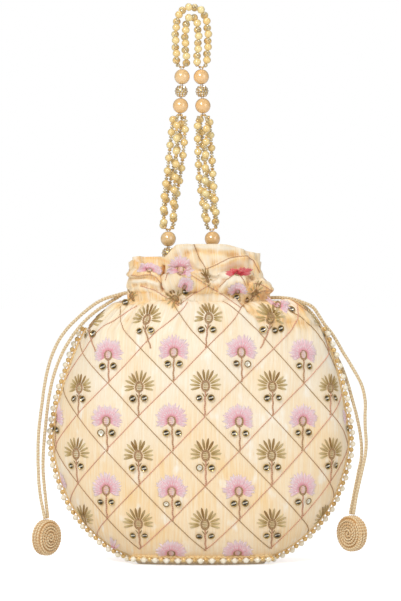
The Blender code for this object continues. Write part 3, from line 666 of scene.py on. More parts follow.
def scatter(name, stamp, places, material):
    """One mesh of many copies: each place is a point, a facing, a heading, a size and a shade."""
    item = mesh_object(name, [p[0] for p in places], [])
    write_attribute(item.data, "facing", [p[1] for p in places], "FLOAT_VECTOR")
    write_attribute(item.data, "heading", [p[2] for p in places], "FLOAT_VECTOR")
    write_attribute(item.data, "size", [p[3] for p in places], "FLOAT_VECTOR")
    write_attribute(item.data, "shade", [p[4] for p in places])
    return run_group(item, SCATTER, {"Stamp": stamp, "Finish": material})


def cord_form(plies, ply_radius, lay_radius, turn_length, step, sides, braid=0.0, weave_depth=0.0):
    """How a cord is wound: its plies, how they lie, and how finely they are drawn."""
    return {
        "Plies": plies,
        "Ply radius": ply_radius,
        "Lay radius": lay_radius,
        "Turn length": turn_length,
        "Step": step,
        "Sides": sides,
        "Braid": braid,
        "Weave depth": weave_depth,
    }


COUCHED_CORD = cord_form(2, COUCHED_PLY, COUCHED_PLY * 0.85, COUCHED_TWIST, 0.0007, 4)
SEAM_RIDGE = cord_form(3, 0.0009, 0.0008, 0.009, 0.0012, 7)
EDGING_THREAD = cord_form(2, 0.0002, 0.0002, 0.002, 0.0008, 5)
STRAND_THREAD = cord_form(2, 0.00017, 0.00017, 0.002, 0.0009, 4)
DISC_WINDING = cord_form(2, DISC_PLY * 0.56, DISC_PLY * 0.46, 0.0042, 0.0006, 6)
BRAID_SIZES = CORD_DIAMETER * 0.19, CORD_DIAMETER * 0.27, 0.0080, 0.0007
DRAWSTRING_BRAID = cord_form(6, *BRAID_SIZES, 5, braid=1.0, weave_depth=CORD_DIAMETER * 0.055)


def plied(name, lines, material, form, shades=None):
    """One mesh of cords wound along lines of points."""
    points, edges, shade = [], [], []
    for number, line in enumerate(lines):
        first = len(points)
        points += line
        edges += [(first + i, first + i + 1) for i in range(len(line) - 1)]
        shade += [shades[number] if shades else 0.3] * len(line)
    item = mesh_object(name, points, [], edges)
    write_attribute(item.data, "shade", shade)
    return run_group(item, PLIED, {"Finish": material, **form})


def dress(item, body, slot, *nodes):
    """Attaches a finished piece to what it rides on and hides the solids that it stands for; its finish is
    not used.
    """
    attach(item, body)
    if nodes:
        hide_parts(*nodes)
    return item


# Stamps: the small meshes that are repeated


def stamp_object(name, bm):
    mesh = bpy.data.meshes.new(name)
    bm.to_mesh(mesh)
    bm.free()
    mesh.shade_smooth()
    return bpy.data.objects.new(name, mesh)


def ball_stamp(name, around, rows):
    bm = bmesh.new()
    bmesh.ops.create_uvsphere(bm, u_segments=around, v_segments=rows, radius=0.5)
    return stamp_object(name, bm)


def petal_stamp():
    """One padded satin-stitch petal, along X, with its own along and across values."""
    lengths, widths = 7, 4
    points, along, across = [], [], []
    for i in range(lengths + 1):
        share = i / lengths
        half = 0.5 * (sin(pi * min(1.0, share * 0.94 + 0.06)) ** 0.55) * (0.62 + 0.38 * share)
        for j in range(widths + 1):
            side = 2 * j / widths - 1
            rise = sqrt(max(0.0, 1 - side * side)) * min(1.0, 6 * share + 0.25, 6 * (1 - share) + 0.25)
            points.append((share - 0.5, side * half, rise - 0.15))
            along.append(share)
            across.append(side)
    faces = []
    for i in range(lengths):
        for j in range(widths):
            first = i * (widths + 1) + j
            faces.append((first, first + widths + 1, first + widths + 2, first + 1))
    item = mesh_object("petal", points, faces)
    bpy.context.scene.collection.objects.unlink(item)
    write_attribute(item.data, "along", along)
    write_attribute(item.data, "across", across)
    item.data.shade_smooth()
    return item


def turned_stamp(name, outline, around):
    """A profile of radius and height, turned about Z; a closed outline makes a ring."""
    points, faces = [], []
    for turn in range(around):
        angle = 2 * pi * turn / around
        points += [(radius * cos(angle), radius * sin(angle), height) for radius, height in outline]
    count = len(outline)
    for turn in range(around):
        after = (turn + 1) % around
        for i in range(count):
            j = (i + 1) % count
            faces.append((turn * count + i, after * count + i, after * count + j, turn * count + j))
    item = mesh_object(name, points, faces)
    bpy.context.scene.collection.objects.unlink(item)
    item.data.shade_smooth()
    return item


def sequin_stamp():
    """A cupped sequin with a hole, which keeps its place from its middle for its painted reflection and rim.
    """
    outline = [(0.09, 0.05), (0.30, 0.08), (0.42, 0.20), (0.50, 0.22)]
    outline += [(0.50, 0.17), (0.42, 0.14), (0.09, -0.01)]
    item = turned_stamp("sequin", outline[::-1], 16)
    write_attribute(item.data, "along", [2 * sqrt(v.co.x**2 + v.co.y**2) for v in item.data.vertices])
    write_attribute(item.data, "across", [2 * v.co.x for v in item.data.vertices])
    return item


def stone_stamp():
    """A round cut stone: a flat table, eight crown facets and a short wall."""
    bm = bmesh.new()
    bmesh.ops.create_cone(bm, cap_ends=True, segments=8, radius1=0.5, radius2=0.28, depth=0.3)
    item = stamp_object("stone", bm)
    item.data.shade_flat()
    return item


# Paths


def smooth_path(points, spacing):
    """Points about one spacing apart on a smooth curve through the given points."""
    spans = [(b - a).length for a, b in zip(points, points[1:])]
    runs = [(b - a) / span for a, b, span in zip(points, points[1:], spans)]
    slopes = [runs[0]]
    for before, after, run_in, run_out in zip(spans, spans[1:], runs, runs[1:]):
        slopes.append((run_in * after + run_out * before) / (before + after))
    slopes.append(runs[-1])
    fine = []
    for a, b, slope_a, slope_b, span in zip(points, points[1:], slopes, slopes[1:], spans):
        for step in range(CURVE_STEPS):
            t = step / CURVE_STEPS
            bend = (t - 2 * t * t + t * t * t) * slope_a + (t * t * t - t * t) * slope_b
            fine.append(a.lerp(b, t * t * (3 - 2 * t)) + bend * span)
    fine.append(points[-1].copy())
    lengths = path_lengths(fine)
    count = max(2, round(lengths[-1] / spacing))
    return [point_along(fine, lengths, lengths[-1] * i / count) for i in range(count + 1)]


def path_lengths(points):
    lengths = [0.0]
    for a, b in zip(points, points[1:]):
        lengths.append(lengths[-1] + (b - a).length)
    return lengths


def point_along(points, lengths, distance):
    low, high = 0, len(points) - 1
    while high - low > 1:
        middle = (low + high) // 2
        if lengths[middle] <= distance:
            low = middle
        else:
            high = middle
    span = lengths[high] - lengths[low]
    share = (distance - lengths[low]) / span if span else 0.0
    return points[low].lerp(points[high], share)


# Cloth surface


def pleat_at(pleats, angle):
    """Height and reach of the puff at each angle."""
    height, reach = np.full(angle.shape, VALLEY_RISE), np.zeros(angle.shape)
    for start, end, puff_height, puff_reach in pleats:
        low, high = radians(start), radians(end)
        inside = (angle >= low - 1e-9) & (angle <= high + 1e-9)
        ridge = np.clip(np.sin(pi * (angle - low) / (high - low)), 0.0, 1.0)
        height = np.where(inside, VALLEY_RISE + (puff_height - VALLEY_RISE) * ridge**0.8, height)
        reach = np.where(inside, puff_reach * ridge**0.7, reach)
    return height, reach


def ring_points(width, depth, seam, centre, height, side, angle, reach=0.0):
    half = depth - side * seam - SLIT_HALF_WIDTH
    x = centre - width * np.cos(angle)
    y = seam + side * (SLIT_HALF_WIDTH + half * np.sin(angle))
    out = np.stack([-np.cos(angle) / width, side * np.sin(angle) / half, np.zeros_like(angle)], -1)
    out /= np.linalg.norm(out, axis=-1, keepdims=True)
    points = np.stack([x, y, height + np.zeros_like(angle)], -1)
    return points + out * np.asarray(reach * np.ones_like(angle))[..., None]


def body_points(ring, side, angle):
    height, width, depth, seam, centre = ring
    sizes = width * BELLY_HALF_WIDTH, depth * BELLY_HALF_DEPTH, seam * BELLY_HALF_DEPTH
    return ring_points(*sizes, centre, height * NECK_HEIGHT, side, angle)


def neck_points(height, side, angle, reach=0.0, inset=0.0):
    pinch = NECK_PINCH * smoothstep(TUNNEL_HIGH, TUNNEL_HIGH + PINCH_RISE, height)
    sizes = NECK_HALF_WIDTH - pinch - inset, NECK_HALF_DEPTH + PINCH_DEPTH_SHARE * pinch - inset
    return ring_points(*sizes, 0.0, NECK_SHIFT - PINCH_SHIFT_SHARE * pinch, height, side, angle, reach)


def frill_top(side, angle):
    x = -np.cos(angle)
    if side == BACK:
        return np.full(angle.shape, FRILL_BACK_TOP)
    top = FRILL_LEFT_TOP + (FRILL_RIGHT_TOP - FRILL_LEFT_TOP) * smoothstep(-0.42, -0.18, x)
    top = top - FRILL_RIGHT_FALL * smoothstep(FALL_START, FALL_END, x)
    return top - FRILL_LEFT_FALL * smoothstep(0.9, 1.0, -x)


def frill_points(row, side, angle):
    height, reach = pleat_at(FRONT_PLEATS if side == FRONT else BACK_PLEATS, angle)
    if row == 0:
        return neck_points(TUNNEL_HIGH, side, angle)
    if row <= len(PUFF_ROWS):
        out, up = PUFF_ROWS[row - 1]
        out = max(out, BACK_WALL_REACH) if side == BACK else out
        return neck_points(TUNNEL_HIGH + up * height, side, angle, out * reach)
    share = (row - len(PUFF_ROWS)) / 2
    start, top = TUNNEL_HIGH + height, NECK_HEIGHT + frill_top(side, angle)
    if side == BACK:
        flare = BACK_WALL_REACH * reach + FRILL_BACK_FLARE * share * np.sin(angle)
    else:
        flare = (FRONT_FOOT_REACH + (FRONT_EDGE_REACH - FRONT_FOOT_REACH) * share) * reach
    points = neck_points(start + (top - start) * share, side, angle, flare)
    points[..., 0] -= EDGE_LEAN * np.sin(angle) * share * (1 if side == FRONT else BACK_LEAN_SHARE)
    return points


def pleat_angles(pleats):
    """The angles of the solids' columns along the pleats, without the first one."""
    parts = PLEAT_COLUMNS // 2
    angles = []
    for start, end, _, _ in pleats:
        angles += [radians(start + (end - start) * step / parts) for step in range(1, parts + 1)]
    return angles


FRILL_ROWS = len(PUFF_ROWS) + 2
FIRST_NECK = len(BODY_RINGS) + 1


def outer_rows(side, angle, first_ring):
    rows = [body_points(ring, side, angle) for ring in BODY_RINGS[first_ring:]]
    rows.append(body_points(SHOULDER_RING, side, angle))
    rows.append(neck_points(TUNNEL_LOW, side, angle))
    rows.append(neck_points(NECK_HEIGHT, side, angle))
    rows += [frill_points(row, side, angle) for row in range(FRILL_ROWS + 1)]
    return rows


def smooth_rows(rows, steps):
    """Fine rows on a smooth surface through the given rows, and the row number of each given one."""
    rows = np.array(rows)
    spans = np.maximum(np.linalg.norm(rows[1:] - rows[:-1], axis=-1, keepdims=True), 1e-6)
    runs = (rows[1:] - rows[:-1]) / spans
    inner = (runs[:-1] * spans[1:] + runs[1:] * spans[:-1]) / (spans[:-1] + spans[1:])
    slopes = np.concatenate([runs[:1], inner, runs[-1:]])
    fine, marks = [], []
    for number, count in enumerate(steps):
        marks.append(len(fine))
        for step in range(count):
            t = step / count
            bend = (t - 2 * t**2 + t**3) * slopes[number] + (t**3 - t**2) * slopes[number + 1]
            flat = rows[number] + (rows[number + 1] - rows[number]) * (t * t * (3 - 2 * t))
            fine.append(flat + bend * spans[number])
    marks.append(len(fine))
    fine.append(rows[-1])
    return np.array(fine), marks


def grid_normals(points, side):
    along = np.gradient(points, axis=1)
    up = np.gradient(points, axis=0)
    normals = np.cross(along, up) * (1.0 if side == FRONT else -1.0)
    return normals / np.maximum(np.linalg.norm(normals, axis=-1, keepdims=True), 1e-12)


# Folds of the front frill and shoulder on the photograph, left to right: points, height in mm,
# and how softly each falls away above and below its line, in mm
FRONT_FOLDS = (
    (((166, 280), (168, 272.5), (174, 270.3), (182, 270.9), (192.7, 274.7), (206, 283.3)), 4.4, 0.8, 9.0),
    (
        ((181, 303), (189, 295.5), (197, 288), (207, 283.5), (220, 291), (231, 298), (243, 308)),
        3.2,
        0.8,
        8.0,
    ),
    (((219, 287), (226, 280), (232, 274), (238, 273.5), (243, 279), (245, 286)), 3.6, 0.8, 6.0),
    (((205, 268.5), (216, 264), (229, 258), (246, 255.5), (253, 261), (260, 274)), 3.0, 0.8, 6.5),
    (((205, 270.5), (215, 275.5), (230, 277), (247, 276)), 3.2, 6.0, 0.8),
    (((131, 276), (145, 275), (155, 275.5), (163, 283)), 3.4, 8.0, 0.8),
    (((134, 281), (147, 279.5), (160, 284)), 1.8, 1.6, 1.6),
    (((127, 291), (138, 286), (150, 287.5), (163, 294), (178, 305)), 2.4, 0.9, 7.0),
    (((248, 283), (254, 281), (262, 283.5), (271, 288), (284, 295), (300, 309)), 3.4, 0.8, 9.0),
    (((255, 313), (265, 317.5), (277, 319.5), (292, 319), (304, 322)), 2.6, 8.0, 0.8),
    (((163.6, 266), (163.9, 288)), -4.6, 1.3, 1.3),
    (((174, 263), (173, 252), (186, 243)), 1.4, 3.0, 3.0),
    (((178, 256), (197, 250), (222, 252), (236, 255)), -1.2, 2.0, 2.0),
    (((176, 264), (190, 260), (203, 264)), 1.2, 2.5, 2.5),
    (((119, 306), (129, 292)), -1.1, 2.0, 2.0),
    (((127, 318), (134, 303), (135, 292)), -1.0, 2.0, 2.0),
    (((176, 305), (180, 292), (178, 285)), -1.2, 1.6, 1.6),
    (((184, 290), (186, 281), (184, 273)), -1.0, 1.4, 1.4),
    (((172, 288), (171, 280), (172, 273)), -1.0, 1.1, 1.1),
    (((195, 286), (197, 280)), -0.9, 1.2, 1.2),
    (((228, 294), (226, 286), (229, 278)), -1.0, 1.4, 1.4),
    (((236, 290), (239, 284), (238, 277)), 0.8, 1.4, 1.4),
    (((212, 303), (208, 290)), 0.8, 2.0, 2.0),
    (((262, 296), (275, 301), (290, 311)), -1.0, 2.0, 2.0),
    (((246, 300), (252, 290)), -2.0, 1.6, 1.6),
    (((140, 272), (142, 262)), -0.8, 1.6, 1.6),
    (((158, 273), (159, 260)), -0.9, 1.6, 1.6),
)
# Painted light on the same folds, golden where they lie in shade and pale as highlights: points, half width
# in mm, and how golden (below zero, how pale)
FRONT_PAINTED_FOLD_LIGHT = (
    (((133, 274), (150, 275.5), (163, 281)), 1.8, 1.0),
    (((163.8, 266), (163.7, 288)), 1.0, 3.2),
    (((135, 264), (138, 258), (147, 256), (160, 257.5), (170, 261)), 1.4, 0.9),
    (((127, 296), (140, 291), (150, 291), (163, 298), (176, 306)), 2.6, 1.2),
    (((167, 279), (169, 273.5), (176, 271.5), (190, 275), (204, 283.5)), 1.3, 0.9),
    (((188, 292), (198, 285)), 2.2, 1.2),
    (((168, 290), (180, 300)), 2.4, 1.0),
    (((197, 292), (207, 286.5), (217, 292)), 2.6, 0.9),
    (((218, 291), (227, 286)), 1.6, 0.7),
    (((245, 283), (253, 288), (258, 296)), 3.0, 1.4),
    (((262, 286), (280, 295), (300, 310)), 2.2, 1.0),
    (((250, 309), (266, 318), (285, 320), (303, 323)), 2.6, 1.2),
    (((197, 250), (214, 252.5), (233, 252)), 1.8, 0.8),
    (((241, 257), (250, 260), (256, 269)), 2.4, 0.9),
    (((206, 267), (226, 262), (236, 258)), 1.4, 0.7),
    (((136, 280), (148, 279.5), (158, 281.5)), 1.3, -0.9),
    (((210, 279), (224, 279)), 2.4, -0.9),
    (((184, 247), (210, 246), (234, 248.5)), 1.1, -0.6),
    (((180, 266), (200, 264)), 2.4, -0.4),
    (((230, 278), (240, 279)), 1.4, -0.6),
    (((268, 299), (284, 303), (300, 311)), 6.0, 1.0),
    (((136, 262), (150, 261), (164, 264)), 3.5, 0.8),
    (((226, 292), (246, 300)), 3.5, 0.7),
    (((112, 303), (128, 300), (146, 300)), 4.0, 0.6),
)


def line_push(x, z, line, above, below):
    """How much a fold pushes at each place: 1 on its line, falling away at its own rate on each side."""
    best, signed = np.full(x.shape, 1e9), np.zeros(x.shape)
    places = [photo_place(*point) for point in line]
    for (ax, az), (bx, bz) in zip(places, places[1:]):
        dx, dz = bx - ax, bz - az
        t = np.clip(((x - ax) * dx + (z - az) * dz) / (dx * dx + dz * dz), 0.0, 1.0)
        gap = np.hypot(x - ax - t * dx, z - az - t * dz)
        left = dx * (z - az) - dz * (x - ax)
        nearer = gap < best
        best = np.where(nearer, gap, best)
        signed = np.where(nearer, np.sign(left), signed)
    width = np.where(signed >= 0, above, below) / 1000
    return np.exp(-((best / width) ** 2))


def lattice_numbers(u, v, start):
    """Diagonal counts of a flat place: a couched line runs wherever either one is odd."""
    across = (u - LATTICE_OFFSET) / (LATTICE_PITCH / 2)
    up = (v - start) / (LATTICE_RISE / 2)
    return across + up, across - up


def grid_faces(rows, columns, first=0):
    """The faces between a grid's points, which are numbered from the first."""
    faces = []
    for i in range(rows - 1):
        for j in range(columns - 1):
            a = first + i * columns + j
            faces.append((a, a + 1, a + columns + 1, a + columns))
    return faces


def blur(values, times):
    for _ in range(times):
        padded = np.pad(values, 1, mode="edge")
        values = (padded[:-2, 1:-1] + padded[2:, 1:-1] + padded[1:-1, :-2] + padded[1:-1, 2:]) / 4
    return values


def ripple(u, v, seeds):
    """A few long waves added up: the slow dents of soft cloth."""
    total = np.zeros(u.shape)
    for number in range(seeds):
        turn = 2.4 * number + 0.7
        length = 0.034 + 0.011 * (number % 4)
        run = (u * cos(turn) + v * sin(turn)) / length
        total += np.sin(2 * pi * run + 1.9 * number * number)
    return total / sqrt(seeds)


class Cloth:
    """One panel's fine surface, with a flat place for every point of it."""

    def __init__(self, side):
        self.side = side
        first = 1 if side == FRONT else 0
        angle = np.linspace(0.0, pi, CLOTH_COLUMNS + 1)
        rows = outer_rows(side, angle, first)
        steps = [BODY_SPAN_ROWS] * (FIRST_NECK - first) + [NECK_SPAN_ROWS] * 2
        steps += [PUFF_SPAN_ROWS] * len(PUFF_ROWS) + [WALL_SPAN_ROWS] * 2
        base, marks = smooth_rows(rows, steps)
        self.neck_rows = [marks[FIRST_NECK - first + i] for i in range(3)]
        self.angle = angle
        centre = CLOTH_COLUMNS // 2
        arcs = np.linalg.norm(base[:, 1:] - base[:, :-1], axis=-1)
        u = np.concatenate([np.zeros((len(base), 1)), np.cumsum(arcs, axis=1)], axis=1)
        u -= u[:, centre : centre + 1]
        gather_row = marks[EDGING_TOP_RING - first]
        spread = (u[:, -1] - u[:, 0])[:, None]
        gathered = np.arange(len(base))[:, None] > gather_row
        u = np.where(gathered, u * spread[gather_row] / spread, u)
        rise = np.linalg.norm(base[1:, centre] - base[:-1, centre], axis=-1)
        v = np.concatenate([[0.0], np.cumsum(rise)])
        self.u, self.v = u, v
        level = float(np.interp(LATTICE_LEVEL, base[: marks[9], centre, 2], v[: marks[9]]))
        self.start = level % LATTICE_RISE
        self.neck_v = v[self.neck_rows[0]]
        normals = grid_normals(base, side)
        push = self.fold_push(base, angle)
        self.push = push
        self.points = base + normals * push[..., None]
        self.normals = grid_normals(self.points, side)
        # Painted shade: how far each point lies below its blurred surroundings, which turns the silk honey
        # and deep brown in the creases.
        hollow = blur(push, 24) - push
        self.hollow = np.clip(hollow / 0.0014, 0.0, 1.0)
        height = base[..., 2]
        # Honey towards the base and on the frill; on the front, painted shade in gold along the fold lines,
        # and painted highlights where the value falls below zero.
        self.warmth = 0.62 - 0.42 * smoothstep(0.05, 0.16, height) + 0.25 * smoothstep(0.200, 0.212, height)
        if side == FRONT:
            for line, width, amount in FRONT_PAINTED_FOLD_LIGHT:
                self.warmth += amount * line_push(base[..., 0], height, line, width, width) * (height > 0.15)

    def fold_push(self, base, angle):
        """How far the cloth stands out from its plain form: dents, quilting, gathers and folds."""
        u, v = self.u, np.broadcast_to(self.v[:, None], self.u.shape)
        x, z = base[..., 0], base[..., 2]
        edge = smoothstep(0.0, 0.30, angle) * smoothstep(0.0, 0.30, pi - angle)
        body = 1.0 - smoothstep(0.170, 0.195, z)
        push = 0.0007 * ripple(u, v, 7) * body
        plus, minus = lattice_numbers(u, v, self.start)
        quilt = np.abs(np.cos(pi * plus / 2) * np.cos(pi * minus / 2)) ** 0.4
        push = push + 0.0006 * (quilt - 0.5) * body
        near = smoothstep(0.150, 0.197, z) * (1.0 - smoothstep(0.206, 0.214, z))
        wave = np.sin(u * 620 + 3 * np.sin(u * 41)) * 0.6 + np.sin(u * 1130 + 1.3) * 0.4
        if self.side == FRONT:
            near = near * (0.35 + 0.65 * smoothstep(0.030, 0.042, np.abs(x)))
        push = push + 0.0010 * wave * near
        wall = smoothstep(0.214, 0.224, z)
        push = push + 0.0009 * np.sin(u * 330 + 2 * np.sin(u * 70) + z * 60) * wall
        if self.side == FRONT:
            region = z > 0.150
            up, down = np.zeros(x.shape), np.zeros(x.shape)
            for line, height, above, below in FRONT_FOLDS:
                amount = np.where(region, line_push(x, z, line, above, below), 0.0) * height / 1000
                up, down = np.maximum(up, amount), np.minimum(down, amount)
            push = push + up + down
        else:
            lobes = np.abs(np.sin(u * 95 + 0.6)) ** 0.7 - 0.5
            push = push + 0.0022 * lobes * smoothstep(0.206, 0.214, z)
        floor = smoothstep(0.004, 0.016, z)
        return push * edge * floor

    def at(self, u, v):
        """The point and the facing at a flat place, or None off the panel."""
        sink = LATTICE_DROOP * (u / 0.09) ** 2 * float(smoothstep(0.10, 0.17, v))
        v = v - sink
        if not self.v[0] < v < self.v[-1]:
            return None
        row = float(np.interp(v, self.v, np.arange(len(self.v))))
        low = min(int(row), len(self.v) - 2)
        share = row - low
        point, facing = np.zeros(3), np.zeros(3)
        for number, weight in ((low, 1 - share), (low + 1, share)):
            line = self.u[number]
            if not line[2] < u * self.side * -1 < line[-3]:
                return None
            column = float(np.interp(u * self.side * -1, line, np.arange(line.size)))
            left = min(int(column), line.size - 2)
            part = column - left
            for total, grid in ((point, self.points), (facing, self.normals)):
                total += weight * ((1 - part) * grid[number, left] + part * grid[number, left + 1])
        return Vector(point), Vector(facing).normalized()

    def tree(self):
        rows, columns = self.points.shape[:2]
        points = [tuple(p) for p in self.points.reshape(-1, 3)]
        return BVHTree.FromPolygons(points, grid_faces(rows, columns))


def panel_mesh(name, cloth, extra_rows):
    """The panel's grid with its seam bands, less the slits of the drawstring tunnel."""
    side = cloth.side
    grid = cloth.points
    shift = side * (SLIT_HALF_WIDTH - CLEARANCE / 2)
    left, right = grid[:, :1].copy(), grid[:, -1:].copy()
    left[..., 1] -= shift
    right[..., 1] -= shift
    full = np.concatenate([left, grid, right], axis=1)
    rows, columns = full.shape[:2]
    low, middle, high = cloth.neck_rows
    faces = []
    for i in range(rows - 1):
        for j in range(columns - 1):
            if j == 0 and middle <= i < high:
                continue
            if j == columns - 2 and low <= i < middle:
                continue
            a = i * columns + j
            face = (a, a + 1, a + columns + 1, a + columns)
            faces.append(face if side == FRONT else face[::-1])
    points = list(map(tuple, full.reshape(-1, 3)))
    u = np.concatenate([cloth.u[:, :1] - 0.003, cloth.u, cloth.u[:, -1:] + 0.003], axis=1)
    v = np.broadcast_to(cloth.v[:, None], u.shape)
    pad = ((0, 0), (1, 1))
    hollow = np.pad(cloth.hollow, pad, mode="edge")
    warmth = np.pad(cloth.warmth, pad, mode="edge")
    flat_u, flat_v = list(u.ravel()), list(v.ravel())
    hollow, warmth = list(hollow.ravel()), list(warmth.ravel())
    if extra_rows:
        first = len(points)
        edge = extra_rows[0].shape[0]
        for number, row in enumerate(extra_rows):
            for index, point in enumerate(row):
                points.append(tuple(point))
                flat_u.append(float(point[0]))
                flat_v.append(-0.01 * (len(extra_rows) - number))
                hollow.append(0.0)
                warmth.append(0.6)
        faces += grid_faces(len(extra_rows), edge, first)
    item = mesh_object(name, points, faces)
    mesh = item.data
    layer = mesh.uv_layers.new(name="cloth")
    order = np.zeros(len(mesh.loops), np.int32)
    mesh.loops.foreach_get("vertex_index", order)
    flat = np.stack([np.array(flat_u)[order], np.array(flat_v)[order]], -1) * 10
    layer.data.foreach_set("uv", flat.astype(np.float32).ravel())
    # The painted crease shade, and the honey tone with the painted fold shade and highlights, for the silk's
    # colour.
    write_attribute(mesh, "hollow", hollow)
    write_attribute(mesh, "warmth", warmth)
    mesh.shade_smooth()
    return item


def thicken(item, thickness):
    modifier = item.modifiers.new("Thickness", "SOLIDIFY")
    modifier.thickness = thickness
    modifier.offset = -1.0
    modifier.use_even_offset = False
    return plain_mesh(item)


def bottom_rows(angle):
    """The flat bottom and the low lip under the front panel, as rows from the back edge forwards."""
    back = body_points(BODY_RINGS[0], BACK, angle)
    front = body_points(BODY_RINGS[0], FRONT, angle)
    lip = body_points(BODY_RINGS[1], FRONT, angle)
    lip[:, 2] -= CLEARANCE
    rows = [back + (front - back) * share for share in np.linspace(0.0, 1.0, 9)]
    rows += [front + (lip - front) * share for share in (0.35, 0.7, 1.0)]
    return rows


def surface_area(item):
    return sum(face.area for face in item.data.polygons)


def make_panels(silk):
    front, back = Cloth(FRONT), Cloth(BACK)
    angle = front.angle[::2]
    front_item = panel_mesh("silk_front", front, [])
    back_item = panel_mesh("silk_back", back, bottom_rows(angle))
    for item, node in ((front_item, "front_panel"), (back_item, "back_panel")):
        item.data.materials.append(silk)
        area = surface_area(item)
        thicken(item, PANEL_THICKNESS * 0.8)
        dress(item, "bag", "embroidered_silk", node)
        flat = (0.262, 0.292 if item is front_item else 0.335)
        min(0.95 * flat[0] * flat[1], area * 1.05)
    return front, back


def make_lining(satin):
    """The inner bag: it follows the panels, then bends in to form the tunnel and out to the collar."""
    half = np.linspace(0.0, pi, 73)
    inset, collar = PANEL_THICKNESS + TUNNEL_GAP, PANEL_THICKNESS + LINING_GAP
    levels = (
        (TUNNEL_LOW - PANEL_THICKNESS - LINING_GAP, inset),
        (NECK_HEIGHT, inset),
        (TUNNEL_HIGH + CLEARANCE, inset),
        (TUNNEL_HIGH + TUNNEL_GAP, collar),
        (TUNNEL_HIGH + LINING_COLLAR, collar),
    )
    rows = []
    for ring in (*BODY_RINGS, SHOULDER_RING):
        pair = [body_points(ring, side, half) for side in (FRONT, BACK)]
        shift = PANEL_THICKNESS + LINING_GAP + LINING_EASE
        row = np.concatenate([pair[0], pair[1][::-1]])
        middle = np.array([row[:, 0].mean(), row[:, 1].mean(), row[0, 2]])
        toward = middle - row
        toward[:, 2] = 0.0
        size = np.linalg.norm(toward, axis=1, keepdims=True)
        row = row + toward / size * shift * 1.35
        row[:, 2] += shift * (1.0 if ring[0] < 0.1 else 0.0)
        rows.append(row)
    for height, amount in levels:
        pair = [neck_points(height, side, half, 0.0, amount) for side in (FRONT, BACK)]
        rows.append(np.concatenate([pair[0], pair[1][::-1]]))
    fine = smooth_rows(rows, [3] * (len(rows) - 1))[0]
    count = fine.shape[1]
    turn = np.arange(count)
    for row in fine:
        if row[0, 2] > 0.165:
            middle = row[:, :2].mean(axis=0)
            row[:, :2] += (middle - row[:, :2]) * (0.004 * (1 + np.sin(turn * 1.3)))[:, None]
    points = list(map(tuple, fine.reshape(-1, 3)))
    faces = []
    for i in range(len(fine) - 1):
        for j in range(count):
            k = (j + 1) % count
            faces.append((i * count + j, i * count + k, (i + 1) * count + k, (i + 1) * count + j))
    faces.append(tuple(range(count))[::-1])
    item = mesh_object("satin_lining", points, faces)
    layer = item.data.uv_layers.new(name="cloth")
    for loop, spot in zip(item.data.loops, layer.data):
        point = points[loop.vertex_index]
        spot.uv = ((loop.vertex_index % count) / count * 4.6, point[2] * 10)
    item.data.shade_smooth()
    item.data.materials.append(satin)
    thicken(item, LINING_THICKNESS * 0.8)
    dress(item, "bag", "lining_satin", "lining")


# Embroidery


def flower_places(at, kind, petals, tones, spread=1.0, tall=1.0):
    """One fan flower: where its petals, its oval heart, its couched outline and its sequins go."""
    stitches, cords, sequins = [], [], []

    def stitch(begin, end, width, height, shade):
        first, last = at(*begin), at(*end)
        if first is None or last is None:
            return
        run = last[0] - first[0]
        middle = at((begin[0] + end[0]) / 2, (begin[1] + end[1]) / 2)
        if middle is None or run.length < 0.0008:
            return
        size = (run.length * 1.04, width, height)
        stitches.append((middle[0] + middle[1] * 0.0001, middle[1], run, size, shade))

    reach, inner, tip, play, width = FLOWER_FORMS[kind]
    for number in range(petals):
        share = number / (petals - 1)
        angle = radians(-reach + 2 * reach * share) + random.uniform(-0.05, 0.05)
        outer = tip + 0.0012 * cos(angle) + random.uniform(-play, play)
        # Shade sets how far each petal goes towards the painted glint tone: the gold's middle petals far,
        # its side petals little.
        if kind == "pink":
            shade = random.choice(tones)
        else:
            shade = random.uniform(0.45, 1.0) if abs(angle) < 0.75 else random.uniform(0.0, 0.3)
        sway = (spread * sin(angle), tall * cos(angle))
        begin = (inner * sway[0], inner * sway[1])
        end = (outer * sway[0], outer * sway[1])
        stitch(begin, end, width * min(spread, 1.0) ** 0.5, PETAL_HEIGHT, shade)
        if number % 2 and kind == "pink":
            stitch(begin, ((begin[0] + end[0]) / 2, (begin[1] + end[1]) / 2), 0.0022, 0.0009, 0.0)
    for ring in (1.0, 0.78):
        heart = []
        for turn in range(HEART_TURNS + 1):
            angle = 2 * pi * turn / HEART_TURNS
            across = HEART_HALF_WIDTH * ring * spread * sin(angle)
            heart.append((across, HEART_HALF_HEIGHT * ring * cos(angle) * tall))
        cords.append(heart)
    for rung in range(5):
        level = -RUNG_START + RUNG_STEP * rung
        half = RUNG_HALF_WIDTH * sqrt(1 - (level / RUNG_REACH) ** 2) * spread
        shade = random.uniform(0.0, 0.35)
        stitch((-half, level * tall), (half, level * tall + 0.0003), 0.0011, 0.0003, shade)
    for hand in (-1, 1):
        sequins.append((hand * SEQUIN_ASIDE * spread, -SEQUIN_BELOW * tall))
        if kind == "gold":
            begin, end = (hand * 0.0023 * spread, -0.0050 * tall), (hand * 0.0002, -0.0082 * tall)
            stitch(begin, end, 0.0010, 0.0004, 0.7)
    stem_end = FLOWER_DROP - LATTICE_RISE / 2
    for strand in (0, 1):
        side = 0.00022 * (2 * strand - 1)
        line = []
        for step in range(11):
            rise = (-STEM_START + (stem_end + STEM_START) * step / 10) * tall
            line.append((side + 0.0003 * sin(step * 1.7), rise))
        cords.append(line)
    return stitches, cords, sequins


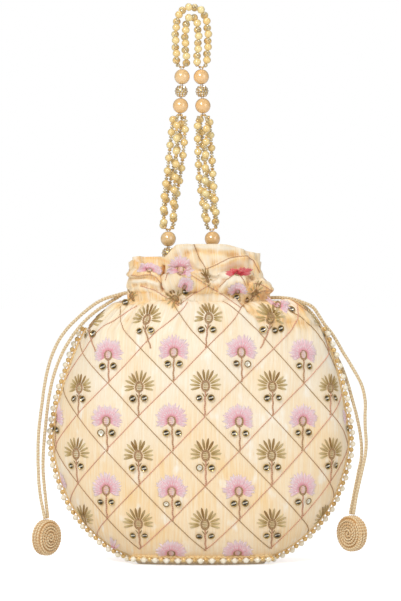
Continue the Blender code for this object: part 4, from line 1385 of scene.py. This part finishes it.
class Embroidery:
    """Collects one panel's stitches, couched cords and sequins, then makes their pieces."""

    def __init__(self, cloth, label):
        self.cloth = cloth
        self.label = label
        self.stitches = {"gold": [], "pink": [], "coral": []}
        self.cords, self.cord_shades = [], []
        self.sequins = []

    def lay(self, at, line, shade):
        """A couched cord through flat points, cut where it leaves the cloth."""
        run = []
        for place in line:
            spot = at(*place)
            if spot is None:
                self.keep(run, shade)
                run = []
            else:
                run.append(spot[0] + spot[1] * (COUCHED_PLY * 1.3))
        self.keep(run, shade)

    def keep(self, run, shade):
        if len(run) >= 3:
            self.cords.append(run)
            self.cord_shades.append(shade)

    def flower(self, at, kind, spread=1.0, tall=1.0, stem=True, petals=None):
        shades = {"gold": (0.0, 0.1, 0.5, 0.9), "pink": (0.0, 0.2, 0.5), "coral": (0.0, 0.3)}[kind]
        count = petals or {"gold": 12, "pink": 31, "coral": 21}[kind]
        form = "pink" if kind == "coral" else kind
        stitches, cords, sequins = flower_places(at, form, count, shades, spread, tall)
        self.stitches[kind] += stitches
        for number, line in enumerate(cords if stem else cords[:2]):
            self.lay(at, line, random.uniform(0.0, 0.3) if number < 2 else random.uniform(0.2, 0.8))
        if stem:
            for place in sequins:
                self.sequin(at, place)

    def sequin(self, at, place):
        spot = at(*place)
        if spot is None:
            return
        tilt = Vector([random.uniform(-0.35, 0.35) for _ in range(3)])
        facing = (spot[1] + tilt * 0.6).normalized()
        # The heading lays every sequin's painted reflection bar the same way.
        heading = facing.cross(Vector((1.0, 0.2, 0.3)))
        size = [SEQUIN_DIAMETER * random.uniform(0.9, 1.05)] * 3
        self.sequins.append((spot[0] + spot[1] * 0.0003, facing, heading, size, random.random()))

    def lattice(self, top):
        """The couched diamonds: one cord for each side of a diamond, pink or gold by which way it slants."""
        steps = 16
        for row in range(-1, 13):
            for way in (1, -1):
                for column in range(-9, 10, 2):
                    across = column + row % 2
                    line = []
                    for index in range(steps + 1):
                        share = index / steps
                        u = LATTICE_OFFSET + (across + way * share) * LATTICE_PITCH / 2
                        v = self.cloth.start + (row + share) * LATTICE_RISE / 2
                        wobble = 0.0006 * sin(v * 700 + column) + 0.0003 * sin(v * 2300 + 3 * row)
                        if v < top:
                            line.append((u + wobble * way, v + wobble))
                    pinkness = random.uniform(0.7, 1.0) if way > 0 else random.uniform(0.0, 0.3)
                    self.lay(self.cloth.at, line, pinkness)

    def upright(self, u, v):
        """How far a flower leans in the flat cloth to stand upright where the cloth draws in."""
        low, high = self.cloth.at(u, v), self.cloth.at(u, v + 0.006)
        if not (low and high):
            return 0.0
        slope = (low[0].x - high[0].x) / 0.006 * -self.cloth.side
        return 0.75 * max(-0.8, min(0.8, slope))

    def flowers(self, top, kinds=("gold", "pink")):
        """A flower in every diamond: gold in the even rows, pink between."""
        for row in range(0, 14):
            v = self.cloth.start + (row - 1) * LATTICE_RISE / 2 - FLOWER_DROP
            if not 0.0 < v < top:
                continue
            kind = kinds[(row + 1) % 2]
            for column in range(-4, 5):
                u = LATTICE_OFFSET + (column + (0.5 if kind == kinds[1] else 0.0)) * LATTICE_PITCH
                u += random.uniform(-0.0007, 0.0007)
                lift = v + random.uniform(-0.0006, 0.0006)
                lean = self.upright(u, lift) + random.uniform(-0.04, 0.04)

                def at(a, b, u=u, v=lift, lean=lean):
                    return self.cloth.at(u + a + b * lean, v + b)

                if at(0.0, 0.0) or at(0.009, 0.0) or at(-0.009, 0.0):
                    self.flower(at, kind)

    def make(self, finishes):
        pieces = []
        for kind, places in self.stitches.items():
            if places:
                pieces.append(scatter(f"{kind}_stitches_{self.label}", PETAL, places, finishes[kind]))
        cord_name = f"couched_cord_{self.label}"
        pieces.append(plied(cord_name, self.cords, finishes["couched"], COUCHED_CORD, self.cord_shades))
        pieces.append(scatter(f"sequins_{self.label}", SEQUIN, self.sequins, finishes["sequin"]))
        for piece in pieces:
            dress(piece, "bag", "embroidered_silk")


def embroider_front(cloth, finishes):
    work = Embroidery(cloth, "front")
    top = cloth.neck_v - 0.006
    work.lattice(top + 0.003)
    work.flowers(top - 0.006)
    tree = cloth.tree()

    def cast(x, z):
        hit = tree.ray_cast(Vector((x, -0.3, z)), Vector((0, 1, 0)))
        return (hit[0], hit[1] if hit[1].y < 0 else -hit[1]) if hit[0] else None

    def on_frill(across, down, lean=0.0):
        x, z = photo_place(across, down)
        return lambda a, b: cast(x + a * cos(lean) + b * sin(lean), z + b * cos(lean) - a * sin(lean))

    frill_flowers = (
        (150, 269, "pink", 0.85, 0.42, 0.1),
        (181, 269, "pink", 0.85, 0.85, 0.15),
        (237, 272.5, "coral", 0.80, 0.30, 0.0),
        (185, 285, "pink", 0.50, 0.60, 0.5),
        (237, 290, "pink", 0.62, 0.50, -0.1),
        (277, 304, "pink", 0.80, 0.55, 0.5),
        (254, 292, "gold", 0.45, 0.8, 0.4),
        (207, 278, "gold", 0.35, 0.7, -0.3),
        (176, 297, "gold", 0.60, 0.7, -0.9),
        (270, 314, "gold", 0.70, 0.4, 0.3),
        (132, 296, "gold", 0.40, 0.5, -0.6),
    )
    for across, down, kind, spread, tall, lean in frill_flowers:
        petals = FRILL_GOLD_PETALS if kind == "gold" else None
        work.flower(on_frill(across, down, lean), kind, spread, tall, stem=False, petals=petals)
    for place in ((236, 296), (246, 299), (290, 309), (279, 327), (126, 302), (186, 290)):
        work.sequin(on_frill(*place), (0.0, 0.0))
    frill_lines = (
        ((132, 274.5), (140, 275), (148, 273.5), (155, 274.5), (160, 280), (165, 288)),
        ((193.7, 243.5), (196, 249), (199, 257), (204, 264), (206, 268)),
        ((206, 268), (214, 265), (222, 261), (229, 257.5), (238, 256), (246, 255.5), (253, 260), (259, 272)),
        ((166, 279), (168, 272.5), (174, 270), (182, 270.6), (192.7, 274.4), (200, 279), (206, 283)),
        ((219, 286), (226, 279), (233, 273.5), (239, 273.8), (243, 279), (245, 284)),
        ((252, 282), (259, 283), (265, 286), (271, 290), (277, 292)),
        ((151, 270), (151, 274)),
        ((141, 285), (155, 289), (166, 296), (179, 304)),
        ((179, 304), (193, 293), (207, 284.5), (222, 293), (240, 306)),
        ((240, 306), (250, 298), (261, 290), (276, 290), (292, 300), (306, 310)),
    )
    for line in frill_lines:
        fine = []
        for (ax, az), (bx, bz) in zip(line, line[1:]):
            fine += [(ax + (bx - ax) * step / 6, az + (bz - az) * step / 6) for step in range(6)]
        fine.append(line[-1])
        work.lay(lambda a, b: cast(*photo_place(a, b)), fine, random.uniform(0.2, 0.7))
    work.make(finishes)


def embroider_back(cloth, finishes):
    work = Embroidery(cloth, "back")
    top = cloth.v[-1] - 0.001
    work.lattice(top)
    work.flowers(top - 0.010)
    work.make(finishes)


# Edging


def seam_line():
    """The seam from the left shoulder round the bottom to the right, with its outward directions."""
    zero, half_turn = np.array([0.0]), np.array([pi])

    def ring_end(ring, angle):
        return Vector(body_points(ring, FRONT, angle)[0]) + Vector((0, SLIT_HALF_WIDTH, 0))

    rings = BODY_RINGS[: EDGING_TOP_RING + 2]
    left = [ring_end(ring, zero) for ring in rings]
    right = [ring_end(ring, half_turn) for ring in rings]
    normals = []
    for below, above in zip(left, left[2:]):
        normals.append(Vector((below.z - above.z, 0, above.x - below.x)).normalized())
    angles = np.array(pleat_angles(FRONT_PLEATS)[:-1])
    low, under, high = (body_points(BODY_RINGS[i], FRONT, angles) for i in range(3))
    under = [Vector(p) for p in under]
    front = []
    for index in range(len(under)):
        along = under[min(len(under) - 1, index + 1)] - under[max(0, index - 1)]
        front.append(along.cross(Vector(high[index] - low[index])).normalized())
    mirrored = [Vector((-n.x, n.y, n.z)) for n in normals]
    return [*reversed(left[1:-1]), *under, *right[1:-1]], [*reversed(normals), *front, *mirrored]


def make_edging(finishes):
    """Gold beads on the seam, pearls outside them, and two white seed beads in each slanting run."""
    points, normals = seam_line()
    path = smooth_path(points, EDGE_PITCH / 8)
    facing = [point + normal for point, normal in zip(points, normals)]
    lengths, corner_lengths = path_lengths(path), path_lengths(points)

    def placed(distance, reach):
        spot = point_along(path, lengths, distance)
        share = distance / lengths[-1] * corner_lengths[-1]
        tip = point_along(facing, corner_lengths, share)
        root = point_along(points, corner_lengths, share)
        return spot + (tip - root).normalized() * reach

    beads = 2 * int(lengths[-1] / EDGE_PITCH) + 1
    pearls, golds, seeds, route = [], [], [], []
    for index in range(beads):
        gold = index % 2 == 0
        reach = EDGE_GOLD_DIAMETER / 2 + EDGE_GOLD_LIFT if gold else EDGE_PEARL_REACH
        spot = placed((index + 0.5) * lengths[-1] / beads, reach)
        if route:
            run = spot - route[-1]
            for share in EDGE_SEED_SHARES:
                middle = route[-1] + run * share
                seeds.append((middle, run, run.orthogonal(), EDGE_SEED_SIZE, random.random()))
        route.append(spot)
        heading = Vector([random.uniform(-1, 1) for _ in range(3)])
        size = [EDGE_GOLD_DIAMETER if gold else EDGE_PEARL_DIAMETER] * 3
        row = golds if gold else pearls
        row.append((spot, heading.orthogonal(), heading, size, random.random()))
    shares = np.linspace(0.0, 1.0, RIDGE_POINTS)
    ridge = [placed(lengths[-1] * share, SEAM_RIDGE_REACH) for share in shares]
    dress(plied("seam_ridge", [ridge], finishes["seam"], SEAM_RIDGE), "bag", "embroidered_silk")
    pieces = [
        plied("edging_thread", [route], finishes["thread"], EDGING_THREAD),
        scatter("edging_pearls", BALL, pearls, finishes["ivory"]),
        scatter("edging_gold", BALL, golds, finishes["gold_bead"]),
        scatter("edging_seeds", SMALL_BALL, seeds, finishes["white_seed"]),
    ]
    for piece in pieces:
        dress(piece, "bag", "edging_beads", "beaded_edging")


# Handle


def knot_place(angle):
    wall = PANEL_THICKNESS + LINING_GAP + LINING_THICKNESS
    seat = KNOT_DIAMETER / 2 + 1.5 * CLEARANCE
    return Vector(neck_points(KNOT_HEIGHT, BACK, np.array([radians(angle)]), -seat, wall)[0])


def leg_points(leg):
    span = STACK_HEIGHT - MOUTH_HEIGHT
    return [(Vector((across, MOUTH_HEIGHT + share * span)), None) for across, share in leg]


def handle_stations():
    """Places across and up that the strands pass through, with the names of their beads."""
    step, lean = Vector((0, BEAD_STEP)), Vector((STACK_LEAN, 0))
    legs = {
        "left": (MOUTH_LEFT, LEFT_LEG, STACK_LEFT, lean),
        "right": (MOUTH_RIGHT, RIGHT_LEG, STACK_RIGHT, -lean),
    }
    columns = []
    for side, (mouth_across, leg, stack_across, shift) in legs.items():
        mouth, stack = Vector((mouth_across, MOUTH_HEIGHT)), Vector((stack_across, STACK_HEIGHT))
        column = [(mouth - step, f"crystal_ball_mouth_{side}"), (mouth, f"big_pearl_mouth_{side}")]
        column += leg_points(leg)
        column.append((stack - step - shift, f"big_pearl_lower_{side}"))
        column.append((stack, f"crystal_ball_stack_{side}"))
        column.append((stack + step + shift, f"big_pearl_upper_{side}"))
        columns.append(column)
    left, right = columns
    centre = Vector((TOP_CENTRE, HANDLE_HEIGHT - STRAND_PEARL_DIAMETER / 2 - STRAND_SPREAD / sqrt(2)))
    centre.y -= TOP_HALF_SPAN
    top = []
    for turn in range(TOP_BEND_STEPS + 1):
        angle = pi * turn / TOP_BEND_STEPS
        top.append((centre + TOP_HALF_SPAN * Vector((-cos(angle), sin(angle))), None))
    return [*left, *top, *reversed(right)]


def handle_line():
    left, right = knot_place(KNOT_LEFT_ANGLE), knot_place(KNOT_RIGHT_ANGLE)
    across = (right - left) / (right.x - left.x)
    normal = Vector((-across.y, across.x, 0)).normalized()
    stations = handle_stations()
    points = [left + across * (spot.x - left.x) for spot, _ in stations]
    for point, (spot, _) in zip(points, stations):
        point.z = spot.y
    path = smooth_path([left, *points, right], PATH_STEP)
    lengths = path_lengths(path)
    beads = []
    for point, (_, name) in zip(points, stations):
        if name:
            nearest = min(range(len(path)), key=lambda i: (path[i] - point).length)
            direction = (path[nearest + 1] - path[nearest - 1]).normalized()
            size = BIG_PEARL_DIAMETER if "pearl" in name else CRYSTAL_BALL_DIAMETER
            beads.append((name, point, direction, size, lengths[nearest]))
    return path, lengths, normal, beads


def strand_spread(distance, beads):
    if not beads[0][4] <= distance <= beads[-1][4]:
        return THREAD_OFFSET
    gap = min(abs(distance - place) - size / 2 for _, _, _, size, place in beads)
    return THREAD_OFFSET + (STRAND_SPREAD - THREAD_OFFSET) * float(smoothstep(BORE_EXIT, SPREAD_LENGTH, gap))


def strand_line(number, path, lengths, normal, beads):
    line = []
    low, high = MOUTH_HEIGHT, STACK_HEIGHT
    for index, point in enumerate(path):
        before, after = path[max(0, index - 1)], path[min(len(path) - 1, index + 1)]
        inward = normal.cross(after - before).normalized()
        turn = LEG_TWIST * min(1.0, max(0.0, (high - point.z) / (high - low)))
        angle = radians(45 + 360 * number / STRANDS + turn)
        spread = strand_spread(lengths[index], beads)
        line.append(point + spread * (cos(angle) * inward + sin(angle) * normal))
    return line


def beaded_zones(beads):
    names = [bead[0] for bead in beads]
    pairs = (
        ("big_pearl_mouth_left", "big_pearl_lower_left"),
        ("big_pearl_upper_left", "big_pearl_upper_right"),
        ("big_pearl_lower_right", "big_pearl_mouth_right"),
    )
    places = [(beads[names.index(a)][4], beads[names.index(b)][4]) for a, b in pairs]
    start = BIG_PEARL_DIAMETER / 2 + SEED_START
    return [(a + start, b - start) for a, b in places]


def make_strand(number, line_data, finishes):
    """One strand: golden pearls, silver and gold seed beads between them, on a twisted thread."""
    path, lengths, normal, beads = line_data
    line = strand_line(number, path, lengths, normal, beads)
    own = path_lengths(line)
    node = f"bead_strand_{number + 1}"

    def own_place(middle_place):
        index = min(range(len(lengths)), key=lambda i: abs(lengths[i] - middle_place))
        return own[index]

    def bead_at(place, size, squash=1.0):
        spot = point_along(line, own, place)
        run = point_along(line, own, place + 0.0004) - point_along(line, own, place - 0.0004)
        return (spot, run, run.orthogonal(), (size, size, size * squash), random.random())

    pearls, silver, golden = [], [], []
    neck = BEAD_FACE_SHARE * STRAND_PEARL_DIAMETER / 2
    for low, high in beaded_zones(beads):
        start, end = own_place(low), own_place(high)
        centre = start + neck + STRAND_PEARL_PITCH * PEARL_SHIFTS[number]
        spots = []
        while centre + neck < end:
            spots.append(centre)
            centre += STRAND_PEARL_PITCH
        rims = [start - SEED_OVERRUN]
        for spot in spots:
            rims += [spot - neck, spot + neck]
            pearls.append(bead_at(spot, STRAND_PEARL_DIAMETER * PEARL_SWELL, PEARL_SQUASH))
        rims.append(end + SEED_OVERRUN)
        for place in (own_place(low - NECK_SEED_REACH), own_place(high + NECK_SEED_REACH)):
            golden.append(bead_at(place, NECK_SEED_DIAMETER, NECK_SEED_SQUASH))
        for first, last in zip(rims[::2], rims[1::2]):
            room = last - first
            count = int(room / (SEED_BEAD_DIAMETER * SEED_PACKING))
            for index in range(count):
                place = first + room * (index + 0.5) / count
                bucket = silver if (index + len(silver)) % 3 else golden
                bucket.append(bead_at(place, SEED_BEAD_DIAMETER * SEED_SWELL, SEED_SQUASH))
    ends = KNOT_DIAMETER / 2 + CLEARANCE
    inner = [p for p, place in zip(line, own) if ends < place < own[-1] - ends][::THREAD_STRIDE]
    pieces = [
        plied(f"strand_thread_{number + 1}", [inner], finishes["thread"], STRAND_THREAD),
        scatter(f"strand_pearls_{number + 1}", BALL, pearls, finishes["golden_pearl"]),
        scatter(f"silver_seeds_{number + 1}", SMALL_BALL, silver, finishes["silver_seed"]),
        scatter(f"gold_seeds_{number + 1}", SMALL_BALL, golden, finishes["gold_bead"]),
    ]
    for piece in pieces:
        dress(piece, "handle", "golden_pearl", node)


def big_bead_stamp(name, diameter, steps, around):
    """A bead with a rounded bore, at its real size, along Z."""
    radius, bore = diameter / 2, BORE_DIAMETER / 2
    first = asin(bore / radius)
    outline = []
    for index in range(steps + 1):
        angle = first + (pi - 2 * first) * index / steps
        outline.append((radius * sin(angle), radius * cos(angle)))
    outline += [(bore * 0.86, -radius * cos(first) * 0.93), (bore * 0.86, radius * cos(first) * 0.93)]
    return turned_stamp(name, outline[::-1], around)


def make_big_beads(line_data, finishes):
    """Big pearls, and balls set with rings of cut stones and with prongs between them."""
    pearl = big_bead_stamp("pearl_form", BIG_PEARL_DIAMETER, 22, 36)
    core = big_bead_stamp("ball_core", CRYSTAL_BALL_DIAMETER * 0.92, 14, 24)
    for name, centre, direction, size, _ in line_data[3]:
        place = (centre, direction, direction.orthogonal(), (1, 1, 1), random.random())
        if "pearl" in name:
            item = scatter(f"dressed_{name}", pearl, [place], finishes["big_pearl"])
            dress(item, "handle", "peach_pearl", name)
            continue
        item = scatter(f"dressed_{name}", core, [place], finishes["setting"])
        dress(item, "handle", "crystal", name)
        side = direction.orthogonal().normalized()
        other = direction.cross(side)
        stones, prongs = [], []
        for ring, (polar, count) in enumerate(STONE_RINGS):
            for turn in range(count):
                angle = 2 * pi * (turn + 0.5 * (ring % 2)) / count
                lean = radians(polar)
                seats = ((stones, angle, *STONE_SEAT), (prongs, angle + pi / count, *PRONG_SEAT))
                for row, around, reach, extent in seats:
                    out = direction * cos(lean) + (side * cos(around) + other * sin(around)) * sin(lean)
                    spot = centre + out * size * reach
                    row.append((spot, out, direction.cross(out), extent, random.random()))
        dress(scatter(f"stones_{name}", STONE, stones, finishes["stone"]), "handle", "crystal", name)
        dress(scatter(f"prongs_{name}", SMALL_BALL, prongs, finishes["setting"]), "handle", "crystal", name)


# Drawstrings and discs


def disc_axes(disc):
    turn = radians(disc[1])
    return Vector(disc[0]), Vector((cos(turn), sin(turn), 0)), Vector((sin(turn), -cos(turn), 0))


def disc_top(disc, offset):
    centre, along, _ = disc_axes(disc)
    return centre + along * offset + Vector((0, 0, DISC_DIAMETER / 2 + 2 * CLEARANCE))


def tunnel_points(side, level, backwards):
    inset = PANEL_THICKNESS + TUNNEL_GAP / 2
    angles = np.array([0.0, *pleat_angles(FRONT_PLEATS if side == FRONT else BACK_PLEATS)])
    points = [Vector(p) for p in neck_points(level, side, angles, 0.0, inset)]
    return points[::-1] if backwards else points


def slit_points(end, side, level):
    beside = side * (CORD_DIAMETER / 2 + CLEARANCE)
    wall = NECK_SHIFT + end * NECK_HALF_WIDTH
    inner = wall - end * (PANEL_THICKNESS + TUNNEL_GAP / 2 - SLIT_PLAY / 2)
    return [
        Vector((inner, side * (SLIT_HALF_WIDTH + SLIT_PLAY), level)),
        Vector((inner + end * SLIT_PLAY * 3, beside * SLIT_SPLAY, level)),
        Vector((wall + end * CORD_DIAMETER / 2, beside, level)),
    ]


def drawstring_route(end, level, outer, inner, disc):
    start, stop = disc_top(disc, end * DISC_CORD_OFFSET), disc_top(disc, -end * DISC_CORD_OFFSET)
    slit_front, slit_back = slit_points(end, FRONT, level), slit_points(end, BACK, level)
    up = smooth_path([slit_front[-1], *[Vector(p) for p in outer], start], CORD_POINT_STEP)
    down = smooth_path([slit_back[-1], *[Vector(p) for p in inner], stop], CORD_POINT_STEP)
    around = tunnel_points(FRONT, level, end > 0)[1:] + tunnel_points(BACK, level, end < 0)[:-1]
    return [*reversed(up), *slit_front[1::-1], *around, *slit_back[:2], *down]


def make_disc(name, node, disc, finishes):
    """A disc wound from twisted cord: a spiral in on each face and turns round the rim."""
    centre, along, facing = disc_axes(disc)
    up = Vector((0, 0, 1))
    half, radius, pitch, ply = DISC_THICKNESS / 2, DISC_DIAMETER / 2, DISC_PITCH, DISC_PLY

    def spiral(face):
        line, angle = [], 0.0
        while True:
            reach = DISC_START + pitch * angle / (2 * pi)
            if reach > radius - ply * 1.6:
                return line
            dome = DISC_DOME * (1 - (reach / radius) ** 2)
            lift = face * (half - ply + dome)
            line.append(centre + (along * cos(angle) + up * sin(angle)) * reach + facing * lift)
            angle += 0.7 * ply / max(reach, ply)

    lines = [spiral(1), spiral(-1)]
    for level in (-1, 0, 1):
        ring = []
        for turn in range(RIM_TURNS + 1):
            angle = 2 * pi * turn / RIM_TURNS
            lift = level * (half - ply * 1.15) * 0.78
            bulge = radius - ply * (1.0 if level == 0 else 1.12)
            ring.append(centre + (along * cos(angle) + up * sin(angle)) * bulge + facing * lift)
        lines.append(ring)
    shades = [random.uniform(0.2, 0.6) for _ in lines]
    winding = plied(f"{name}_winding", lines, finishes["disc"], DISC_WINDING, shades)
    outline = [(0.0, half * 0.8), (radius * 0.86, half * 0.72), (radius * 0.93, 0.0)]
    outline += [(radius * 0.86, -half * 0.72), (0.0, -half * 0.8)]
    form = turned_stamp(f"{name}_form", outline[::-1], 40)
    place = (centre, facing, along, (1, 1, 1), 0.5)
    core = scatter(f"{name}_core", form, [place], finishes["disc_core"])
    for item in (winding, core):
        dress(item, "bag", "gold_braid", node)
    return [winding, core]


def make_drawstrings(finishes):
    upper, lower = NECK_HEIGHT + LEVEL_HEIGHT / 2, NECK_HEIGHT - LEVEL_HEIGHT / 2
    sides = (
        ("left", -1, upper, LEFT_OUTER, LEFT_INNER, LEFT_DISC),
        ("right", 1, lower, RIGHT_OUTER, RIGHT_INNER, RIGHT_DISC),
    )
    for label, end, level, outer, inner, disc in sides:
        route = drawstring_route(end, level, outer, inner, disc)
        fine = smooth_path(route, 0.0016)
        braid = plied(f"braid_{label}", [fine], finishes["braid"], DRAWSTRING_BRAID)
        dress(braid, "bag", "gold_braid", f"drawstring_{label}")
        pieces = make_disc(f"disc_{label}", f"end_disc_{label}", disc, finishes)
        length = path_lengths(fine)[-1]
        tuple(fine[0])
        [tuple(p) for p in fine]


def paint_knots(material):
    for name in ("knot_left", "knot_right"):
        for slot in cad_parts[name].material_slots:
            slot.material = material


# Setting


SENSOR_HEIGHT = 24.0
FLOOR_REACH = 5.0
FLOOR_DROP = 0.0002
FLOOR_CORNERS = ((-1, -1), (1, -1), (1, 1), (-1, 1))
FLOOR_GLOW = 0.62
FLOOR_MIRROR_GLOW = 0.5
SURROUND_BASE = 0.5
SURROUND_SEEN = 0.5
SURROUND_MIRROR_DROP = 0.35
# Lamps: name, place, aim, width and power
LAMPS = (
    ("key", (-0.9, -1.5, 1.5), (0, 0, 0.15), 0.9, 10.8),
    ("fill", (1.3, -1.3, 0.7), (0, 0, 0.15), 1.2, 4.9),
    ("top", (0.1, 0.3, 1.8), (0, 0, 0.1), 0.9, 5.0),
    ("spark", (-0.5, -1.4, 1.1), (0, 0, 0.2), 0.24, 6.0),
)


def place_camera():
    data = bpy.data.cameras.new("camera")
    data.sensor_fit = "VERTICAL"
    data.sensor_height = SENSOR_HEIGHT
    data.lens = SENSOR_HEIGHT * CAMERA_DISTANCE / FRAME_HEIGHT
    data.clip_end = 20.0
    camera = bpy.data.objects.new("camera", data)
    bpy.context.scene.collection.objects.link(camera)
    x, z = photo_place(200.5, 300.5)
    camera.location = (x, -cos(CAMERA_TILT) * CAMERA_DISTANCE, z + sin(CAMERA_TILT) * CAMERA_DISTANCE)
    camera.rotation_euler = (pi / 2 - CAMERA_TILT, 0, 0)
    bpy.context.scene.camera = camera


def add_lamp(name, place, aim, size, power):
    data = bpy.data.lights.new(name, "AREA")
    data.shape = "DISK"
    data.size = size
    data.energy = power
    lamp = bpy.data.objects.new(name, data)
    lamp.location = place
    lamp.rotation_euler = (Vector(aim) - Vector(place)).to_track_quat("-Z", "Y").to_euler()
    bpy.context.scene.collection.objects.link(lamp)


def set_stage(material):
    """A pale floor that is open on every side, soft lamps, and a white surround."""
    corners = [(x * FLOOR_REACH, y * FLOOR_REACH, -FLOOR_DROP) for x, y in FLOOR_CORNERS]
    floor = mesh_object("floor", corners, [(0, 1, 2, 3)])
    floor.data.materials.append(material)
    for lamp in LAMPS:
        add_lamp(*lamp)
    world = bpy.data.worlds.new("surround")
    world.use_nodes = True
    background = world.node_tree.nodes["Background"]
    nodes = Nodes(world.node_tree)
    path = nodes.add("ShaderNodeLightPath")
    seen = Wire(nodes, path.outputs["Is Camera Ray"]) * SURROUND_SEEN + SURROUND_BASE
    seen = seen - Wire(nodes, path.outputs["Is Glossy Ray"]) * SURROUND_MIRROR_DROP
    world.node_tree.links.new(seen.socket, background.inputs["Strength"])
    background.inputs["Color"].default_value = (1.0, 1.0, 1.0, 1.0)
    bpy.context.scene.world = world
    bpy.context.scene.view_settings.view_transform = "Standard"


def stage_material():
    """White to the camera, grey in reflections, and keeping the shadow that falls on it."""
    material = finish("studio_floor", floor_paint, Roughness=0.6)
    tree = material.node_tree
    nodes = Nodes(tree)
    shader = tree.nodes["Principled BSDF"]
    output = tree.nodes["Material Output"]
    path = nodes.add("ShaderNodeLightPath")
    direct = Wire(nodes, path.outputs["Is Camera Ray"])
    glow = nodes.wire("ShaderNodeEmission", None, {"Color": (1, 1, 1, 1), "Strength": FLOOR_GLOW})
    surface = Wire(nodes, shader.outputs[0])
    both = nodes.wire("ShaderNodeAddShader", None, {0: surface, 1: glow})
    mixed = nodes.wire("ShaderNodeMixShader", None, {0: direct, 1: surface, 2: both})
    dim = nodes.wire("ShaderNodeEmission", None, {"Color": (1, 1, 1, 1), "Strength": FLOOR_MIRROR_GLOW})
    glossy = Wire(nodes, path.outputs["Is Glossy Ray"])
    mixed = nodes.wire("ShaderNodeMixShader", None, {0: glossy, 1: mixed, 2: dim})
    tree.links.new(mixed.socket, output.inputs["Surface"])
    return material


def all_finishes():
    """Every finish by its short name: a paint, then a name with tones and the thread's pitch and depth."""
    looks = {
        # Stitch rows: root, tip, a painted glint tone, and the painted shade between threads; cord rows: two
        # thread tones, the painted shade between turns, the pitch, and that shade's depth where given.
        stitch_paint: {
            "gold": ("gold_stitch", (216, 188, 122), (248, 232, 184), (168, 130, 72), (204, 176, 122)),
            "pink": ("pink_stitch", (255, 178, 190), (255, 238, 240), (255, 212, 218), (255, 246, 246)),
            "coral": ("coral_stitch", (232, 70, 84), (255, 158, 160), (240, 96, 110), (230, 150, 150)),
        },
        cord_paint: {
            "couched": ("couched_gimp", (196, 166, 118), (250, 196, 172), (200, 164, 124), 0.0016, 0.5),
            "braid": ("braid_thread", (253, 242, 214), (230, 206, 160), (214, 184, 138), 0.0022, 0.5),
            "disc": ("disc_thread", (255, 244, 212), (255, 230, 180), (206, 158, 96), 0.0022, 0.6),
            "seam": ("seam_silk", (250, 230, 184), (240, 208, 148), (224, 188, 134), 0.004),
            "thread": ("beading_thread", (240, 214, 160), (212, 178, 120), (196, 160, 110), 0.001),
        },
        pearl_paint: {
            "ivory": ("ivory_pearl", (255, 252, 238), (250, 238, 208)),
            "golden_pearl": ("golden_pearl", (255, 240, 178), (253, 206, 118)),
            "big_pearl": ("peach_pearl", (255, 224, 168), (255, 198, 124)),
            "white_seed": ("white_seed", (252, 246, 232), (240, 228, 204)),
        },
        gold_paint: {
            "disc_core": ("disc_core_thread", (214, 164, 104), (186, 138, 84)),
            "gold_bead": ("gold_bead", (246, 212, 148), (190, 146, 86)),
            "silver_seed": ("silver_lined_seed", (236, 220, 180), (150, 124, 80)),
            "setting": ("stone_setting", (232, 196, 128), (150, 112, 60)),
        },
    }
    fixed = {
        "gold": {"Roughness": 0.42, "Metallic": 0.1},
        "pink": {"Roughness": 0.4, "Sheen_Weight": 0.3},
        "coral": {"Roughness": 0.55},
        "couched": {"Roughness": 0.5},
        "braid": {"Roughness": 0.5},
        "disc": {"Roughness": 0.45},
        "seam": {"Roughness": 0.5},
        "thread": {"Roughness": 0.6},
        "ivory": {"Coat_Weight": 0.7},
        "golden_pearl": {"Coat_Weight": 1.0, "Coat_Roughness": 0.12, "Coat_IOR": 2.0},
        "big_pearl": {"Coat_Weight": 1.0, "Coat_Roughness": 0.16, "Coat_IOR": 2.3},
        "white_seed": {"Coat_Weight": 0.8},
        "disc_core": {"Metallic": 0.0},
        "gold_bead": {"Metallic": 0.35},
        "silver_seed": {"Metallic": 0.4, "Coat_Weight": 0.8},
        "setting": {"Metallic": 0.5},
    }
    made = {
        "sequin": finish("sequin_cup", sequin_paint, Metallic=0.35, Coat_Weight=0.7),
        "stone": finish("cut_stone", stone_paint, Metallic=0.35, Coat_Weight=1.0, Coat_IOR=2.0),
    }
    for paint, rows in looks.items():
        for key, (name, *parts) in rows.items():
            parts = [tone(*part) if isinstance(part, tuple) else part for part in parts]
            made[key] = finish(name, paint(*parts), **fixed[key])
    return made


PETAL = petal_stamp()
SEQUIN = sequin_stamp()
STONE = stone_stamp()
BALL = ball_stamp("bead_form", 16, 10)
SMALL_BALL = ball_stamp("seed_form", 9, 6)
SCATTER = scatter_group()
PLIED = plied_group()

place_camera()
FINISHES = all_finishes()
make_drawstrings(FINISHES)
front_cloth, back_cloth = make_panels(finish("slub_silk", silk_paint, Sheen_Weight=0.25))
make_lining(finish("lining_satin", satin_paint, Roughness=0.45))
embroider_front(front_cloth, FINISHES)
embroider_back(back_cloth, FINISHES)
make_edging(FINISHES)
handle = handle_line()
for strand in range(STRANDS):
    make_strand(strand, handle, FINISHES)
make_big_beads(handle, FINISHES)
paint_knots(FINISHES["thread"])
set_stage(stage_material())
